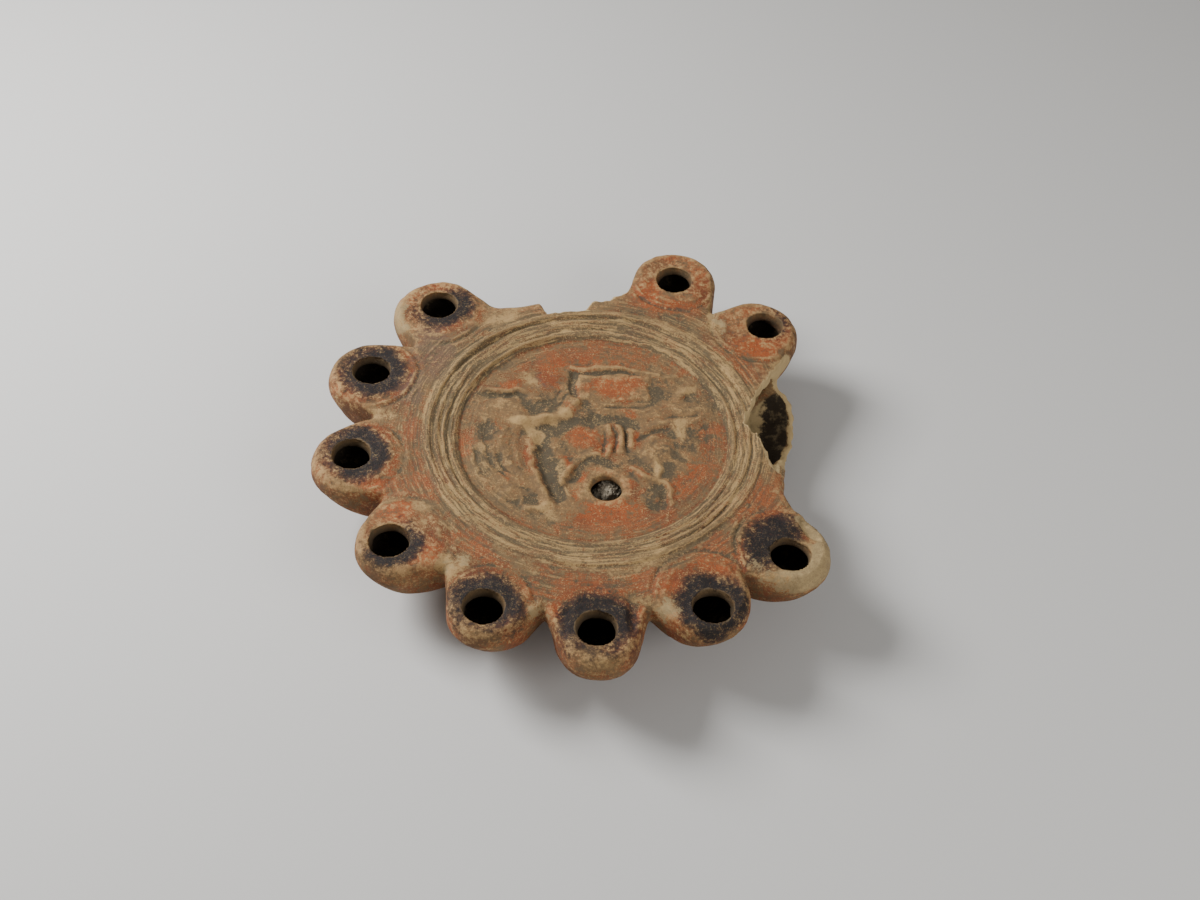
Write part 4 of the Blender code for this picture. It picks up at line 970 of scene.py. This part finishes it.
# Crumbs stuck all over the lump
crumbling = bpy.data.node_groups.new("crumbs", "GeometryNodeTree")
crumbling.interface.new_socket("Geometry", in_out="INPUT", socket_type="NodeSocketGeometry")
crumb_count = crumbling.interface.new_socket("Crumbs", in_out="INPUT", socket_type="NodeSocketInt")
crumb_size = crumbling.interface.new_socket("Crumb size", in_out="INPUT", socket_type="NodeSocketFloat")
crumbling.interface.new_socket("Geometry", in_out="OUTPUT", socket_type="NodeSocketGeometry")


def add_node(kind, **settings):
    """A node of the crumbs group, with its settings."""
    made = crumbling.nodes.new(kind)
    for name, setting in settings.items():
        setattr(made, name, setting)
    return made


group_in = add_node("NodeGroupInput")
group_out = add_node("NodeGroupOutput")
scatter = add_node("GeometryNodeDistributePointsOnFaces")
scatter.inputs["Seed"].default_value = 6
crumb = add_node("GeometryNodeMeshIcoSphere")
crumb.inputs["Subdivisions"].default_value = 1
stand = add_node("GeometryNodeInstanceOnPoints")
growth = add_node("FunctionNodeRandomValue", data_type="FLOAT")
growth.inputs[2].default_value = 0.5
growth.inputs[3].default_value = 1.3
growth.inputs["Seed"].default_value = 9
area = add_node("ShaderNodeMath", operation="DIVIDE")
area.inputs[1].default_value = SOIL_AREA
real = add_node("GeometryNodeRealizeInstances")
painted = add_node("GeometryNodeSetMaterial")
painted.inputs["Material"].default_value = burial_soil
both = add_node("GeometryNodeJoinGeometry")
for source, outlet, target, inlet in (
    (group_in, "Geometry", scatter, "Mesh"),
    (group_in, "Crumbs", area, 0),
    (area, 0, scatter, "Density"),
    (group_in, "Crumb size", crumb, "Radius"),
    (scatter, "Points", stand, "Points"),
    (crumb, "Mesh", stand, "Instance"),
    (growth, 1, stand, "Scale"),
    (stand, "Instances", real, "Geometry"),
    (real, "Geometry", both, "Geometry"),
    (group_in, "Geometry", both, "Geometry"),
    (both, "Geometry", painted, "Geometry"),
    (painted, "Geometry", group_out, "Geometry"),
):
    crumbling.links.new(source.outputs[outlet], target.inputs[inlet])
crumbs = soil_lump.modifiers.new("Crumbs", "NODES")
crumbs.node_group = crumbling
crumbs[crumb_count.identifier] = CRUMBS
crumbs[crumb_size.identifier] = CRUMB_RADIUS
finished = applied(soil_lump)
finished.name = "soil_lump"
finished.shade_smooth()
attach(soil_lump, "root")


# Floor. A pale, matt, seamless sheet of paper that the lamp stands on. It is wide enough to fill
# the view, and it isn't part of the lamp.
FLOOR_HALF = 5.0
PAPER = (0.62, 0.61, 0.59, 1.0)
floor_mesh = bpy.data.meshes.new("floor")
corners = [(-FLOOR_HALF, -FLOOR_HALF, 0.0), (FLOOR_HALF, -FLOOR_HALF, 0.0)]
corners += [(FLOOR_HALF, FLOOR_HALF, 0.0), (-FLOOR_HALF, FLOOR_HALF, 0.0)]
floor_mesh.from_pydata(corners, [], [(0, 1, 2, 3)])
floor = new_object("floor", floor_mesh)
paper = bpy.data.materials.new("pale_paper")
paper.use_nodes = True
paper_shader = paper.node_tree.nodes["Principled BSDF"]
paper_shader.inputs["Base Color"].default_value = PAPER
paper_shader.inputs["Roughness"].default_value = 0.9
floor_mesh.materials.append(paper)


# Studio light. One broad soft lamp from the upper left, a weaker one from the right and a little
# light from all round.
def add_soft_light(name, place, target, power, size):
    """Square area light aimed at a point."""
    light = new_object(name, bpy.data.lights.new(name, "AREA"))
    light.data.energy = power
    light.data.size = size
    light.location = place
    light.rotation_mode = "QUATERNION"
    light.rotation_quaternion = (Vector(target) - Vector(place)).to_track_quat("-Z", "Y")


add_soft_light("key_light", (-0.5, 0.16, 0.5), (0.0, 0.0, 0.02), 8.0, 0.3)
add_soft_light("fill_light", (0.6, -0.5, 0.45), (0.0, 0.0, 0.02), 3.6, 0.5)
world = bpy.data.worlds.new("studio")
world.use_nodes = True
world.node_tree.nodes["Background"].inputs["Color"].default_value = (1.0, 0.98, 0.95, 1.0)
world.node_tree.nodes["Background"].inputs["Strength"].default_value = 0.22
bpy.context.scene.world = world


# Camera. It looks down at the lamp from the front, about half a metre away, and is rolled a little
# to the right. Its place is measured from the ring of wick holes.
LENS = 45.0
SENSOR = 36.0
EYE_DISTANCE = 6.1687
EYE_SHIFT = (0.0029, -0.0107)
ELEVATION = math.radians(48.86)
ROLL = math.radians(3.26)
back_way = Vector((0.0, -math.cos(ELEVATION), math.sin(ELEVATION)))
level = Vector((1.0, 0.0, 0.0))
upright = Vector((0.0, math.sin(ELEVATION), math.cos(ELEVATION)))
camera_x = level * math.cos(ROLL) + upright * math.sin(ROLL)
camera_y = upright * math.cos(ROLL) - level * math.sin(ROLL)
eye = back_way * (EYE_DISTANCE * HOLE_RING_RADIUS) + Vector((*EYE_SHIFT, LAMP_TOP))
camera = new_object("camera", bpy.data.cameras.new("camera"))
camera.data.sensor_width = SENSOR
camera.data.lens = LENS
camera.data.clip_start = 0.01
camera.matrix_world = Matrix((
    (camera_x.x, camera_y.x, back_way.x, eye.x),
    (camera_x.y, camera_y.y, back_way.y, eye.y),
    (camera_x.z, camera_y.z, back_way.z, eye.z),
    (0.0, 0.0, 0.0, 1.0),
))
bpy.context.scene.camera = camera
bpy.context.view_layer.update()
